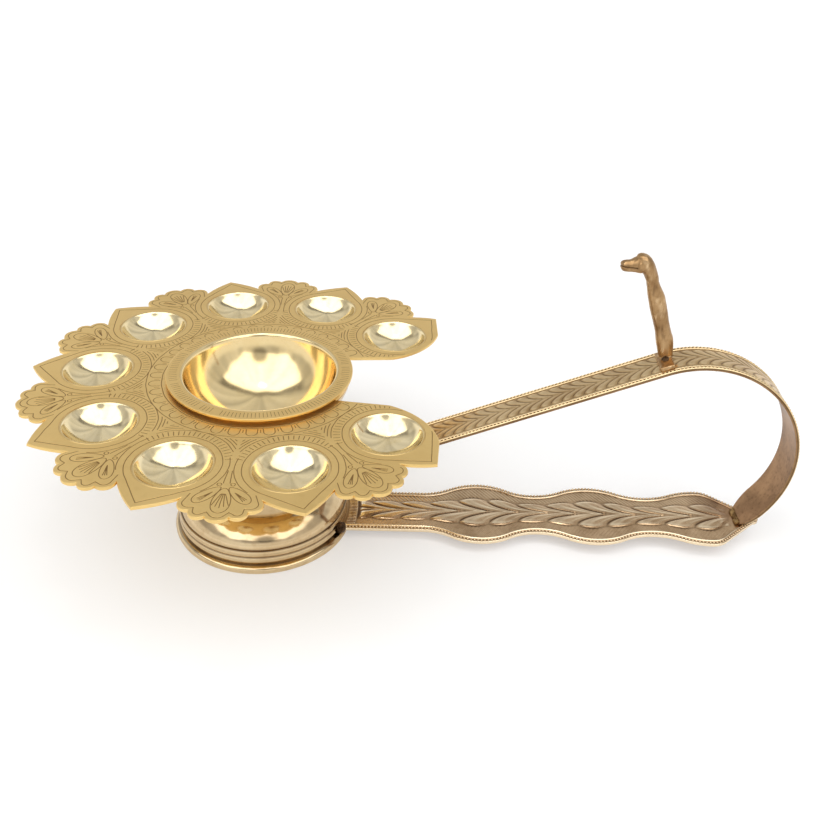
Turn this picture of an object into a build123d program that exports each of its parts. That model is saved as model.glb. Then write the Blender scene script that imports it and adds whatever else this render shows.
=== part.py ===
from build123d import *
import os
from math import acos, asin, atan2, cos, degrees, radians, sin, sqrt, tan

# Brass aarti lamp, millimetres. The origin is the centre of the foot on the table,
# +Z is up and +X runs out along the handle.

# Tray: nine cups share ten places, and the tenth is the notch over the handle
tray_height = 79.0
tray_thickness = 1.4
cup_places = 10
cup_ring_radius = 73.0
cup_mouth_radius = 15.0
cup_depth = 9.0
cup_wall = 1.3
cup_lip_round = 0.8
petal_point = 14.0
petal_half_angle = 8.5
petal_belly = 0.9
valley_rim = 3.5
leaf_point = 14.8
leaf_scallop = 2.0
leaf_inner_notch_share = 0.27
leaf_outer_notch_share = 0.68
notch_half_width = 18.5
end_tip_swing = 2.5
end_flank_rim = 3.5
end_flank_swell = 3.5
end_flank_from = -90.0
end_flank_middle = -40.0
end_flank_to = 10.0

# Bowl that drops into the top of the stand
bowl_mouth_radius = 34.0
bowl_depth = 27.0
bowl_wall = 1.3
bowl_lip_round = 1.2
flange_width = 7.5
flange_thickness = 1.4
flange_lift = 1.7
bowl_clearance = 0.4

# Pedestal, turned and hollow
pedestal_wall = 3.2
spigot_wall = 1.8
tray_fit_clearance = 0.15
seat_width = 2.4
shoulder_edge = 1.2
foot_flare = 2.5
foot_ring_height = 3.7
foot_toe_inset = 0.6
foot_shoulder_inset = 1.8
foot_bulge_height = 1.4
band_radius = 39.3
bead_height = 3.55
bead_swell = 0.6
bead_groove = 0.5
bead_count = 2
dome_lip = 0.4
dome_radius = 10.5
waist_radius = 29.0

# Grip: flat strip with three swellings and a pointed end
grip_thickness = 1.7
grip_rim_width = 1.9
grip_rim_height = 0.7
grip_table_gap = 4.0
grip_slope = 1.0
grip_neck_half_width = 14.0
grip_swell = 7.7
grip_swell_fade = 0.9
grip_swell_count = 3
grip_swell_pitch = 55.0
grip_first_swell = 64.0
grip_tail_bend = 10.0
grip_point_length = 26.5
grip_point_half_width = 3.0

# Strap: straight rise from the waist, round curl, short run down on to the grip
strap_width = 19.7
strap_thickness = 1.5
strap_rim_width = 1.7
strap_rim_height = 0.6
strap_root_height = 30.0
strap_rise_angle = 22.5
strap_curl_setback = 58.9
strap_curl_radius = 47.8
strap_fall_heading = -127.0
strap_heel_width = 11.0
strap_heel_taper = 13.0

# Finial: serpent that stands on the strap just past the start of the curl
finial_turn = 3.0
finial_pad_length = 5.4
finial_pad_width = 14.0
finial_pad_thickness = 1.6
finial_offset = 2.0
finial_lean = 18.5
finial_neck_height = 46.0
finial_foot_width = 8.6
finial_waist_width = 7.2
finial_body_width = 7.7
finial_neck_width = 5.6
finial_flatness = 0.8
finial_head_length = 13.0
finial_head_radius = 4.7
finial_snout_radius = 2.8
finial_snout_tip = 2.0
finial_head_pitch = 10.0
finial_head_back = 2.6
finial_head_lift = 2.4

# Braze and solder
grip_braze_radius = 2.6
grip_braze_shift = 0.6
strap_root_braze_radius = 2.4
heel_braze_radius = 1.8
finial_braze_radius = 2.3
solder_leg = 1.1

# Smallest length that counts as different, and plain turns in degrees
edge_tolerance = 0.05
eighth_turn = 45.0
half_turn = 180.0

# Sizes that follow from the ones above
cup_pitch_angle = 360.0 / cup_places
cup_outer_reach = cup_ring_radius + cup_mouth_radius
valley_radius = cup_outer_reach + valley_rim
petal_tip_radius = cup_outer_reach + petal_point
leaf_tip_radius = cup_outer_reach + leaf_point
leaf_half_angle = cup_pitch_angle / 2 - petal_half_angle
tray_underside = tray_height - tray_thickness
flange_radius = bowl_mouth_radius + flange_width
flange_seat = tray_height + flange_lift
flange_top = flange_seat + flange_thickness
spigot_bore = bowl_mouth_radius + bowl_wall + bowl_clearance
spigot_radius = spigot_bore + spigot_wall
tray_hole_radius = spigot_radius + tray_fit_clearance
shoulder_radius = tray_hole_radius + seat_width
foot_radius = band_radius + foot_flare
foot_flat_radius = foot_radius - foot_toe_inset
foot_shoulder_radius = foot_radius - foot_shoulder_inset
bead_radius = band_radius + bead_swell
band_top = foot_ring_height + bead_groove + bead_count * bead_height
dome_edge_radius = band_radius - dome_lip
grip_root_radius = bead_radius
grip_top = grip_table_gap + grip_thickness
grip_length = grip_first_swell + (grip_swell_count - 1) * grip_swell_pitch + grip_point_length
strap_half_width = strap_width / 2
strap_heel_half_width = strap_heel_width / 2
whole_reach = grip_root_radius + grip_length


def polar(radius, angle):
    """Point at a radius and an angle in degrees, in the plane of the tray."""
    return Vector(radius * cos(radians(angle)), radius * sin(radians(angle)))


def upright(radius, height):
    """Point of a profile that is turned about Z or lies in the handle's plane."""
    return Vector(radius, 0, height)


def cap_radius(mouth, depth):
    """Radius of the sphere that gives a dish of this mouth radius and depth."""
    return (mouth**2 + depth**2) / (2 * depth)


def swollen_flank(start, end):
    """One side of a petal: an arc that bellies outwards a little."""
    middle = (start + end) / 2
    return ThreePointArc(start, middle + middle.normalized() * petal_belly, end)


def petal(angle):
    """Pointed petal between two valleys."""
    tip = polar(petal_tip_radius, angle)
    first = swollen_flank(polar(valley_radius, angle - petal_half_angle), tip)
    second = swollen_flank(tip, polar(valley_radius, angle + petal_half_angle))
    return [first, second]


def leaf_point_at(angle, share, inset):
    """Point on the leaf's rounded envelope, share running from -1 to 1 across the leaf."""
    rise = (leaf_tip_radius - valley_radius) * sqrt(1 - share**2)
    return polar(valley_radius + rise - inset, angle + share * leaf_half_angle)


def leaf(angle):
    """Palmette leaf of five scallops between two petals."""
    half = [leaf_inner_notch_share, leaf_outer_notch_share, 1]
    notches = [-share for share in reversed(half)] + half
    arcs = []
    for left, right in zip(notches, notches[1:]):
        start = leaf_point_at(angle, left, leaf_scallop if abs(left) < 1 else 0)
        end = leaf_point_at(angle, right, leaf_scallop if abs(right) < 1 else 0)
        crown = leaf_point_at(angle, (left + right) / 2, 0)
        arcs.append(ThreePointArc(start, crown, end))
    return arcs


def end_flank(side):
    """Outline of an end petal on its notch side, from the notch to the petal's tip."""
    cup = polar(cup_ring_radius, cup_pitch_angle)
    near = cup_mouth_radius + end_flank_rim
    far = near + end_flank_swell
    below, beside, outer = [
        cup + polar(reach, angle)
        for reach, angle in ((far, end_flank_from), (near, end_flank_middle), (far, end_flank_to))
    ]
    tip = polar(petal_tip_radius, cup_pitch_angle + end_tip_swing)
    inner = Vector(sqrt(shoulder_radius**2 - notch_half_width**2), notch_half_width)
    flank = [Line(inner, below), ThreePointArc(below, beside, outer), Line(outer, tip)]
    last_valley = polar(valley_radius, cup_pitch_angle + petal_half_angle)
    flank.append(swollen_flank(tip, last_valley))
    if side < 0:
        flank = [mirror(edge, about=Plane.XZ) for edge in flank]
    return flank


def tray_outline():
    """Flat face with the tray's petals, leaves and notch."""
    edges = end_flank(1) + end_flank(-1)
    for place in range(1, cup_places - 1):
        edges += leaf((place + 0.5) * cup_pitch_angle)
    for place in range(2, cup_places - 1):
        edges += petal(place * cup_pitch_angle)
    corner_angle = degrees(asin(notch_half_width / shoulder_radius))
    corners = [polar(shoulder_radius, angle) for angle in (-corner_angle, 0, corner_angle)]
    edges.append(ThreePointArc(*corners))
    return make_face(edges)


def cup_centres():
    """Middle of each cup, on the tray's top face."""
    for place in range(1, cup_places):
        centre = polar(cup_ring_radius, place * cup_pitch_angle)
        yield Pos(centre.X, centre.Y, tray_height)


def make_tray():
    """Plate with nine dished cups standing down from it."""
    plate = Pos(0, 0, tray_underside) * extrude(tray_outline(), amount=tray_thickness)
    plate -= Pos(0, 0, tray_height) * Cylinder(tray_hole_radius, 2 * tray_height)
    dish = cap_radius(cup_mouth_radius, cup_depth)
    rise = dish - cup_depth
    shell = Pos(0, 0, rise) * Sphere(dish + cup_wall)
    room = 4 * dish
    keep = Box(room, room, room, align=(Align.CENTER, Align.CENTER, Align.MAX))
    shell = shell & (Pos(0, 0, -tray_thickness / 2) * keep)
    plate += [place * shell for place in cup_centres()]
    plate -= [place * Pos(0, 0, rise) * Sphere(dish) for place in cup_centres()]
    lips = plate.edges().filter_by(GeomType.CIRCLE).filter_by(
        lambda edge: abs(edge.radius - cup_mouth_radius) < edge_tolerance
        and abs(edge.center().Z - tray_height) < edge_tolerance
    )
    return fillet(lips, cup_lip_round)


def make_bowl():
    """Round bowl with a flat flange, turned from one profile."""
    dish = cap_radius(bowl_mouth_radius, bowl_depth)
    centre = flange_top - bowl_depth + dish
    outer = dish + bowl_wall
    neck = sqrt(outer**2 - (centre - flange_seat) ** 2)
    slope = radians(eighth_turn)
    profile = [
        ThreePointArc(
            upright(0, centre - dish),
            upright(dish * sin(slope), centre - dish * cos(slope)),
            upright(bowl_mouth_radius, flange_top),
        ),
        Line(upright(bowl_mouth_radius, flange_top), upright(flange_radius, flange_top)),
        Line(upright(flange_radius, flange_top), upright(flange_radius, flange_seat)),
        Line(upright(flange_radius, flange_seat), upright(neck, flange_seat)),
        ThreePointArc(
            upright(neck, flange_seat),
            upright(outer * sin(slope), centre - outer * cos(slope)),
            upright(0, centre - outer),
        ),
        Line(upright(0, centre - outer), upright(0, centre - dish)),
    ]
    bowl = revolve(make_face(profile), Axis.Z)
    rim = bowl.edges().filter_by(GeomType.CIRCLE).sort_by(Axis.Z)[-2:]
    lip = rim.sort_by(lambda edge: edge.radius)[0]
    return fillet(lip, bowl_lip_round)


# The dome starts upright on the bead band and rolls in to the waist, where the flare starts upright
dome_centre = dome_edge_radius - dome_radius
waist_height = band_top + sqrt(dome_radius**2 - (waist_radius - dome_centre) ** 2)
flare_spread = shoulder_radius - waist_radius
flare_rise = tray_underside - shoulder_edge - waist_height
flare_radius = (flare_spread**2 + flare_rise**2) / (2 * flare_spread)
flare_centre = waist_radius + flare_radius


def pedestal_outside():
    """Outer profile of the stand, from the foot up to the spigot's rim."""
    ring_low = upright(foot_flat_radius, 0)
    ring_side = upright(foot_radius, foot_bulge_height)
    ring_high = upright(foot_shoulder_radius, foot_ring_height)
    groove = upright(band_radius, foot_ring_height)
    level = foot_ring_height + bead_groove
    edges = [
        ThreePointArc(ring_low, ring_side, ring_high),
        Line(ring_high, groove),
        Line(groove, upright(band_radius, level)),
    ]
    for _ in range(bead_count):
        start = upright(band_radius, level)
        crown = upright(bead_radius, level + bead_height / 2)
        level += bead_height
        edges.append(ThreePointArc(start, crown, upright(band_radius, level)))
    dome_start = upright(dome_edge_radius, band_top)
    waist = upright(waist_radius, waist_height)
    shoulder_low = upright(shoulder_radius, tray_underside - shoulder_edge)
    shoulder = upright(shoulder_radius, tray_underside)
    seat = upright(spigot_radius, tray_underside)
    rim = upright(spigot_radius, flange_seat)
    edges += [
        Line(upright(band_radius, band_top), dome_start),
        TangentArc(dome_start, waist, tangent=(0, 0, 1)),
        TangentArc(waist, shoulder_low, tangent=(0, 0, 1)),
        Line(shoulder_low, shoulder),
        Line(shoulder, seat),
        Line(seat, rim),
    ]
    return edges


def pedestal_blank():
    """The stand before it is hollowed."""
    foot = upright(foot_flat_radius, 0)
    rim = upright(spigot_radius, flange_seat)
    axis_top = upright(0, flange_seat)
    closing = [Line(rim, axis_top), Line(axis_top, upright(0, 0)), Line(upright(0, 0), foot)]
    return revolve(make_face(pedestal_outside() + closing), Axis.Z)


def pedestal_hollow():
    """Space inside the stand, open at the foot and at the spigot."""
    foot_bore = dome_edge_radius - pedestal_wall
    waist_bore = waist_radius - pedestal_wall
    dome_ceiling = band_top + dome_radius - pedestal_wall
    inner_flare = flare_radius + pedestal_wall
    flare_top = waist_height + sqrt(inner_flare**2 - (flare_centre - spigot_bore) ** 2)
    foot = upright(foot_bore, 0)
    dome_start = upright(foot_bore, band_top)
    dome_top = upright(dome_centre, dome_ceiling)
    waist_low = upright(waist_bore, dome_ceiling)
    waist = upright(waist_bore, waist_height)
    bore = upright(spigot_bore, flare_top)
    rim = upright(spigot_bore, flange_seat)
    axis_top = upright(0, flange_seat)
    edges = [
        Line(foot, dome_start),
        TangentArc(dome_start, dome_top, tangent=(0, 0, 1)),
        Line(dome_top, waist_low),
        Line(waist_low, waist),
        TangentArc(waist, bore, tangent=(0, 0, 1)),
        Line(bore, rim),
        Line(rim, axis_top),
        Line(axis_top, upright(0, 0)),
        Line(upright(0, 0), foot),
    ]
    return revolve(make_face(edges), Axis.Z)


# The grip is drawn flat from its root and then laid at its small slope
grip_frame = Location((grip_root_radius, 0, grip_top), (0, -grip_slope, 0))


def swell_side(start, end):
    """Half a wave of the grip's edge: two equal arcs that leave both ends straight."""
    middle = (start + end) / 2
    along = (end - start).X
    return [
        TangentArc(start, middle, tangent=(along, 0, 0)),
        TangentArc(end, middle, tangent=(-along, 0, 0)),
    ]


def touch_point(centre, radius, outside):
    """Where the upper tangent from an outside point touches a circle."""
    away = outside - centre
    angle = atan2(away.Y, away.X) + acos(radius / away.length)
    return centre + polar(radius, degrees(angle))


def grip_outline(inset, start):
    """Flat face with the grip's swellings and point, drawn in by an inset."""
    neck = grip_neck_half_width - inset
    half_pitch = grip_swell_pitch / 2
    edges = [Line(Vector(start, neck), Vector(grip_first_swell - half_pitch, neck))]
    for count in range(grip_swell_count):
        middle = grip_first_swell + count * grip_swell_pitch
        top = Vector(middle, neck + grip_swell - count * grip_swell_fade)
        edges += swell_side(Vector(middle - half_pitch, neck), top)
        if count < grip_swell_count - 1:
            edges += swell_side(top, Vector(middle + half_pitch, neck))
    nose = Vector(grip_length - inset, 0)
    point = nose + Vector(-grip_point_half_width, grip_point_half_width)
    bend = grip_tail_bend - inset
    touch = touch_point(top - Vector(0, bend), bend, point)
    edges += [TangentArc(top, touch, tangent=(1, 0, 0)), Line(touch, point)]
    edges += [mirror(edge, about=Plane.XZ) for edge in edges]
    edges.append(ThreePointArc(point, nose, Vector(point.X, -point.Y)))
    edges.append(Line(Vector(start, neck), Vector(start, -neck)))
    return make_face(edges)


def make_grip():
    """Thin strip with a raised rim, cut to fit round the stand's beads."""
    outline = grip_outline(0, -grip_root_radius / 2)
    field = grip_outline(grip_rim_width, grip_rim_width)
    strip = Pos(0, 0, -grip_thickness) * extrude(outline, amount=grip_thickness)
    rim = extrude(outline - field, amount=grip_rim_height)
    strip = grip_frame * (strip + rim)
    return strip - Cylinder(grip_root_radius, 2 * tray_height)


def heading(angle):
    """Unit vector in the handle's plane, and the normal on its outer side."""
    along = upright(cos(radians(angle)), sin(radians(angle)))
    return along, upright(-along.Z, along.X)


rise_along, rise_out = heading(strap_rise_angle)
fall_along, fall_out = heading(strap_fall_heading)
strap_root = upright(waist_radius, strap_root_height)
rise_reach = whole_reach - strap_curl_setback - waist_radius
curl_start = strap_root + rise_along * (rise_reach / rise_along.X)
curl_centre = curl_start - rise_out * strap_curl_radius
curl_end = curl_centre + fall_out * strap_curl_radius
grip_up = Vector(-sin(radians(grip_slope)), 0, cos(radians(grip_slope)))
heel_drop = (curl_end - grip_frame.position).dot(grip_up) / -fall_along.dot(grip_up)
heel = curl_end + fall_along * heel_drop


def strap_line(lift):
    """Side view of the strap at a distance outside its middle surface."""
    inside = strap_root - rise_along * (waist_radius / 2) + rise_out * lift
    start = curl_start + rise_out * lift
    top_out = heading((strap_rise_angle + strap_fall_heading) / 2)[1]
    crown = curl_centre + top_out * (strap_curl_radius + lift)
    end = curl_end + fall_out * lift
    below = end + fall_along * (end.Z / -fall_along.Z)
    return [Line(inside, start), ThreePointArc(start, crown, end), Line(end, below)]


def strap_band(low, high, width):
    """Bent strip between two distances from the strap's middle surface."""
    inner = strap_line(low)
    outer = strap_line(high)
    ends = [Line(inner[0] @ 0, outer[0] @ 0), Line(inner[-1] @ 1, outer[-1] @ 1)]
    return extrude(make_face(inner + outer + ends), amount=width / 2, both=True)


def below_grip():
    """Everything under the grip's field."""
    block = Box(2 * whole_reach, whole_reach, tray_height, align=(Align.CENTER, Align.CENTER, Align.MAX))
    return grip_frame * block


def heel_corners():
    """Blocks that round both corners of the strap's lower end in to its heel width."""
    start = Vector(-strap_heel_taper, strap_half_width)
    end = Vector(0, strap_heel_half_width)
    outside = strap_width
    edges = [TangentArc(start, end, tangent=(1, 0, 0))]
    corners = [end, Vector(strap_heel_taper, end.Y), Vector(strap_heel_taper, outside)]
    corners += [Vector(start.X, outside), start]
    edges += [Line(first, last) for first, last in zip(corners, corners[1:])]
    block = extrude(make_face(edges), amount=strap_heel_taper / 2, both=True)
    block = Plane(origin=heel, x_dir=fall_along, z_dir=fall_out).location * block
    return [block, mirror(block, about=Plane.XZ)]


def make_strap(stand, grip):
    """Bent strip with a raised rim on both edges of its outer face."""
    face = strap_thickness / 2
    rim_shift = strap_half_width - strap_rim_width / 2
    strap = strap_band(-face, face, strap_width)
    rim = strap_band(face, face + strap_rim_height, strap_rim_width)
    strap += [Pos(0, side * rim_shift, 0) * rim for side in (-1, 1)]
    return strap - stand - below_grip() - grip - heel_corners()


finial_heading = strap_rise_angle - finial_turn
finial_base = curl_centre + heading(finial_heading)[1] * (strap_curl_radius + strap_thickness / 2)
finial_seat = finial_base + Vector(0, finial_offset, 0)


def finial_centre(height):
    """Middle of the leaning stem at a height above the strap."""
    return finial_seat + Vector(-height * tan(radians(finial_lean)), 0, height)


def finial_round(width):
    """Flattened section of the stem."""
    return Ellipse(width / 2, width * finial_flatness / 2)


def finial_stem():
    """Leaning stem, lofted from the strap's slope through level sections up to the neck."""
    sunk = Pos(0, 0, -strap_thickness / 2)
    rounds = [Location(finial_seat, (0, -finial_heading, 0)) * sunk * finial_round(finial_foot_width)]
    widths = [finial_waist_width, finial_body_width, finial_body_width, finial_neck_width]
    for count, width in enumerate(widths, start=1):
        centre = finial_centre(finial_neck_height * count / len(widths))
        rounds.append(Pos(*centre) * finial_round(width))
    return loft(rounds)


def finial_head():
    """Head and snout, turned about their own axis and pitched down."""
    crown_place = finial_head_radius
    snout_place = 2 * finial_head_radius
    back = Vector(0, 0)
    brow = Vector(snout_place, finial_snout_radius)
    nose = Vector(finial_head_length, finial_snout_tip)
    jaw = Vector(finial_head_length, 0)
    cheek = jaw + polar(finial_snout_tip, eighth_turn)
    tip = jaw + polar(finial_snout_tip, 0)
    profile = [
        ThreePointArc(back, Vector(crown_place, finial_head_radius), brow),
        Line(brow, nose),
        ThreePointArc(nose, cheek, tip),
        Line(tip, back),
    ]
    head = revolve(make_face(profile), Axis.X)
    back_of_head = finial_centre(finial_neck_height) + Vector(finial_head_back, 0, finial_head_lift)
    return Location(back_of_head, (0, half_turn - finial_head_pitch, 0)) * head


def make_finial(strap):
    """Serpent on a small pad that laps across the strap's face."""
    sink = strap_thickness / 2
    pad = Box(finial_pad_length, finial_pad_width, finial_pad_thickness + sink)
    lift = (finial_pad_thickness - sink) / 2
    pad = Location(finial_base, (0, -finial_heading, 0)) * Pos(0, 0, lift) * pad
    return pad + finial_stem() + finial_head() - strap


def make_grip_braze(stand, grip):
    """Blob of braze metal round each corner of the grip's root."""
    angle = degrees(asin(grip_neck_half_width / grip_root_radius))
    blobs = []
    for side in (-1, 1):
        corner = polar(grip_root_radius, side * angle)
        centre = corner + Vector(grip_braze_shift, side * grip_braze_shift, grip_top + grip_braze_shift)
        blobs.append(Pos(*centre) * Sphere(grip_braze_radius))
    return Compound([blob - stand - grip for blob in blobs])


def make_strap_root_braze(stand, strap):
    """Collar of braze metal round the strap's root, following the waist."""
    collar = Pos(0, 0, strap_root_height) * Torus(waist_radius, strap_root_braze_radius)
    reach = strap_width + 2 * strap_root_braze_radius
    keep = Box(2 * waist_radius, reach, 2 * tray_height, align=(Align.MIN, Align.CENTER, Align.CENTER))
    return (collar & keep) - stand - strap


def make_heel_braze(strap, grip):
    """Bead of braze metal on both sides of the strap's lower end."""
    bead = Pos(*heel) * Rot(90, 0, 0) * Cylinder(heel_braze_radius, strap_heel_width)
    return bead - strap - grip - below_grip()


def make_finial_braze(finial, strap):
    """Blob of braze metal in the crook between the serpent's foot and its pad."""
    foot_front = finial_foot_width * finial_flatness / 2
    crook = finial_seat + Vector(0, -foot_front, finial_pad_thickness)
    return Pos(*crook) * Sphere(finial_braze_radius) - finial - strap


def make_tray_solder():
    """Ring of solder under the tray, round the shoulder it sits on."""
    corner = upright(shoulder_radius, tray_underside)
    out = upright(shoulder_radius + solder_leg, tray_underside)
    down = upright(shoulder_radius, tray_underside - solder_leg)
    ring = revolve(make_face([Line(corner, out), Line(out, down), Line(down, corner)]), Axis.Z)
    return ring & extrude(tray_outline(), amount=tray_height)


stand_blank = pedestal_blank()
pedestal = stand_blank - pedestal_hollow()
grip = make_grip()
strap = make_strap(stand_blank, grip)
finial = make_finial(strap)

nodes = {
    "tray": make_tray(),
    "bowl": make_bowl(),
    "pedestal": pedestal,
    "grip": grip,
    "strap": strap,
    "finial": finial,
    "grip_braze": make_grip_braze(stand_blank, grip),
    "strap_root_braze": make_strap_root_braze(stand_blank, strap),
    "strap_heel_braze": make_heel_braze(strap, grip),
    "finial_braze": make_finial_braze(finial, strap),
    "tray_solder": make_tray_solder(),
}

os.makedirs("parts", exist_ok=True)
for name, shape in nodes.items():
    export_step(shape, f"parts/{name}.step")
    print(name, len(shape.solids()), "solid(s)", round(shape.volume), "mm3")
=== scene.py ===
# %% [markdown]
# # A nine-cup brass aarti lamp
# The lamp is a cast and hand-finished piece: a petalled tray with nine wick cups, a loose bowl in the
# middle, a turned stand, and a handle of two cast strips with a small serpent as a thumb rest.
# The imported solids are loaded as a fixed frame, and every visible piece is then built at the same place
# with the chasing, the beads and the finish that the real metal shows. Lengths are written in millimetres.

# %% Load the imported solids
from math import acos, asin, atan2, ceil, cos, hypot, pi, radians, sin, sqrt

import bmesh
import bpy
import numpy as np
from mathutils import Matrix, Vector, noise
from mathutils.geometry import delaunay_2d_cdt


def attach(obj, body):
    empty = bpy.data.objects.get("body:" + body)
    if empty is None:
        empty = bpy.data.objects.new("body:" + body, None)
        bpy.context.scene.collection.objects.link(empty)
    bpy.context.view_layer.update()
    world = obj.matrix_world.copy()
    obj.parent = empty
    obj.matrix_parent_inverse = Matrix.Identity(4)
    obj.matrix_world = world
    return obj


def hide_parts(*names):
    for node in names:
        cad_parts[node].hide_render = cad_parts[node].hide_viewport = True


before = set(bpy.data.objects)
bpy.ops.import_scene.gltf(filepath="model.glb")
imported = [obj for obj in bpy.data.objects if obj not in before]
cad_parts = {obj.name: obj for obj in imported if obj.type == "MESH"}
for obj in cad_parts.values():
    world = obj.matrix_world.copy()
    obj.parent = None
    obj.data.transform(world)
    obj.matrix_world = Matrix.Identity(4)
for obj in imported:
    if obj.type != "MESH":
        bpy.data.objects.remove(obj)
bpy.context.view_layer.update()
mm = 0.001
print("solids in the frame:", ", ".join(sorted(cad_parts)))

# %% [markdown]
# ## Small tools for meshes
# Most pieces start as lists of points in millimetres. These helpers turn such a list into a mesh object at
# the origin, merge the seams, point the faces outwards, and fasten the piece to the body that it moves with.


# %% Helpers for mesh pieces
def link_object(name, data):
    """Puts new data into the scene as an object at the origin."""
    made = bpy.data.objects.new(name, data)
    bpy.context.scene.collection.objects.link(made)
    return made


def mesh_piece(name, points, faces, edges=()):
    """Smooth mesh object from points in millimetres."""
    mesh = bpy.data.meshes.new(name)
    mesh.from_pydata((np.asarray(points, float) * mm).tolist(), list(edges), faces)
    mesh.shade_smooth()
    return link_object(name, mesh)


def close_seams(piece, sharp_angle=None):
    """Merges doubled points, turns the faces outwards and says how many edges are left open."""
    shell = bmesh.new()
    shell.from_mesh(piece.data)
    bmesh.ops.remove_doubles(shell, verts=shell.verts, dist=0.0005 * mm)
    bmesh.ops.recalc_face_normals(shell, faces=shell.faces)
    open_edges = sum(not edge.is_manifold for edge in shell.edges)
    shell.to_mesh(piece.data)
    shell.free()
    if sharp_angle:
        piece.data.set_sharp_from_angle(angle=radians(sharp_angle))
    print(f"{piece.name}: {len(piece.data.polygons)} faces, {open_edges} open edges")


def store_values(piece, name, values):
    """Keeps one number per point, for the materials to read."""
    piece.data.attributes.new(name, "FLOAT", "POINT").data.foreach_set("value", np.ravel(values))


def keep_shown(piece):
    """Keeps what a piece's modifiers make as its plain mesh, and clears them."""
    bpy.context.view_layer.update()
    graph = bpy.context.evaluated_depsgraph_get()
    shown = piece.evaluated_get(graph)
    made = bpy.data.meshes.new_from_object(shown, preserve_all_data_layers=True, depsgraph=graph)
    piece.modifiers.clear()
    piece.data = made


def chain_edges(paths):
    """Edges along several paths whose points stand one after the other."""
    starts = np.cumsum([0] + [len(path) for path in paths])
    return [(index, index + 1) for first, last in zip(starts, starts[1:]) for index in range(first, last - 1)]


def round_points(centre, radius, angle):
    """Points on a circle at angles in radians, one in each row."""
    return np.stack([centre[0] + radius * np.cos(angle), centre[1] + radius * np.sin(angle)], 1)


def fasten(piece, body, node, material=None):
    """Lets a finished piece stand for a solid and move with its body."""
    if material:
        piece.data.materials.clear()
        piece.data.materials.append(material)
    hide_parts(node)
    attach(piece, body)


# %% [markdown]
# ## Camera
# The camera stands where the photograph was taken from. Its place and lens were worked out from the tray's
# ring of cups, which is a known circle seen at a slant, and from the ends of the handle.

# %% Camera
lens = bpy.data.cameras.new("photo_camera")
lens.sensor_width = 36.0
lens.lens = 42.13987
lens.shift_x = -0.02793478
lens.shift_y = -0.15209058
lens.clip_start = 0.02
camera = link_object("photo_camera", lens)
camera.location = (0.06644921, -0.38041935, 0.30472590)
camera.rotation_euler = (1.1315742, -0.05008564, -0.00575784)
bpy.context.scene.camera = camera
bpy.context.scene.view_settings.view_transform = "Standard"
print("camera at", [round(value, 3) for value in camera.location])

# %% [markdown]
# ## Floor, world and light
# Polished brass shows its surroundings, so the room matters as much as the light above it. The floor is white.
# A bright panel hangs overhead on the camera's side, and a dark, bowed beam runs from side to side behind it.
# Uneven curtains stand round the room above a white horizon, and a dark patch stands where the camera is.
# Patch and beam give the dark marks in the cups and on the stand, and the panel fills the hollows with white.


# %% Helpers for node trees
def add_node(tree, kind, inputs=None, **settings):
    """New node with its settings, and its inputs linked or filled in."""
    made = tree.nodes.new(kind)
    for name, value in settings.items():
        setattr(made, name, value)
    for name, value in (inputs or {}).items():
        if hasattr(value, "is_output"):
            tree.links.new(value, made.inputs[name])
        else:
            made.inputs[name].default_value = value
    return made


def feed(tree, node, **outputs):
    """Links outputs to the inputs of a node by name, spaces written as underscores."""
    for name, output in outputs.items():
        tree.links.new(output, node.inputs[name.replace("_", " ")])


def add_math(tree, operation, first, second=0.0):
    """Output of one sum on two values or sockets."""
    return add_node(tree, "ShaderNodeMath", {0: first, 1: second}, operation=operation).outputs[0]


def product(tree, first, *others):
    """Output of values or sockets multiplied one after the other."""
    for other in others:
        first = add_math(tree, "MULTIPLY", first, other)
    return first


def vector_math(tree, operation, *values):
    """Output of one sum on vectors."""
    made = add_node(tree, "ShaderNodeVectorMath", dict(enumerate(values)), operation=operation)
    return made.outputs["Value" if operation == "DOT_PRODUCT" else "Vector"]


def add_range(tree, value, low, high, to_low=0.0, to_high=1.0, blend="SMOOTHSTEP"):
    """Output of a map from one span of values to another."""
    inputs = {"Value": value, "From Min": low, "From Max": high, "To Min": to_low, "To Max": to_high}
    return add_node(tree, "ShaderNodeMapRange", inputs, interpolation_type=blend).outputs[0]


def add_mix(tree, share, first, second):
    """Output of a mix of two colours."""
    return add_node(tree, "ShaderNodeMix", {0: share, 6: first, 7: second}, data_type="RGBA").outputs[2]


def attribute(tree, name):
    """Output of the number that a mesh keeps under a name."""
    return add_node(tree, "ShaderNodeAttribute", attribute_name=name).outputs["Fac"]


def seen_directly(tree):
    """1 for rays from the camera, from metal and through glass."""
    rays = add_node(tree, "ShaderNodeLightPath")
    direct = add_math(tree, "MAXIMUM", rays.outputs["Is Camera Ray"], rays.outputs["Is Glossy Ray"])
    return add_math(tree, "MAXIMUM", direct, rays.outputs["Is Transmission Ray"])


def new_material(name):
    """Material with an empty node tree."""
    material = bpy.data.materials.new(name)
    material.use_nodes = True
    material.node_tree.nodes.clear()
    return material, material.node_tree


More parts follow.
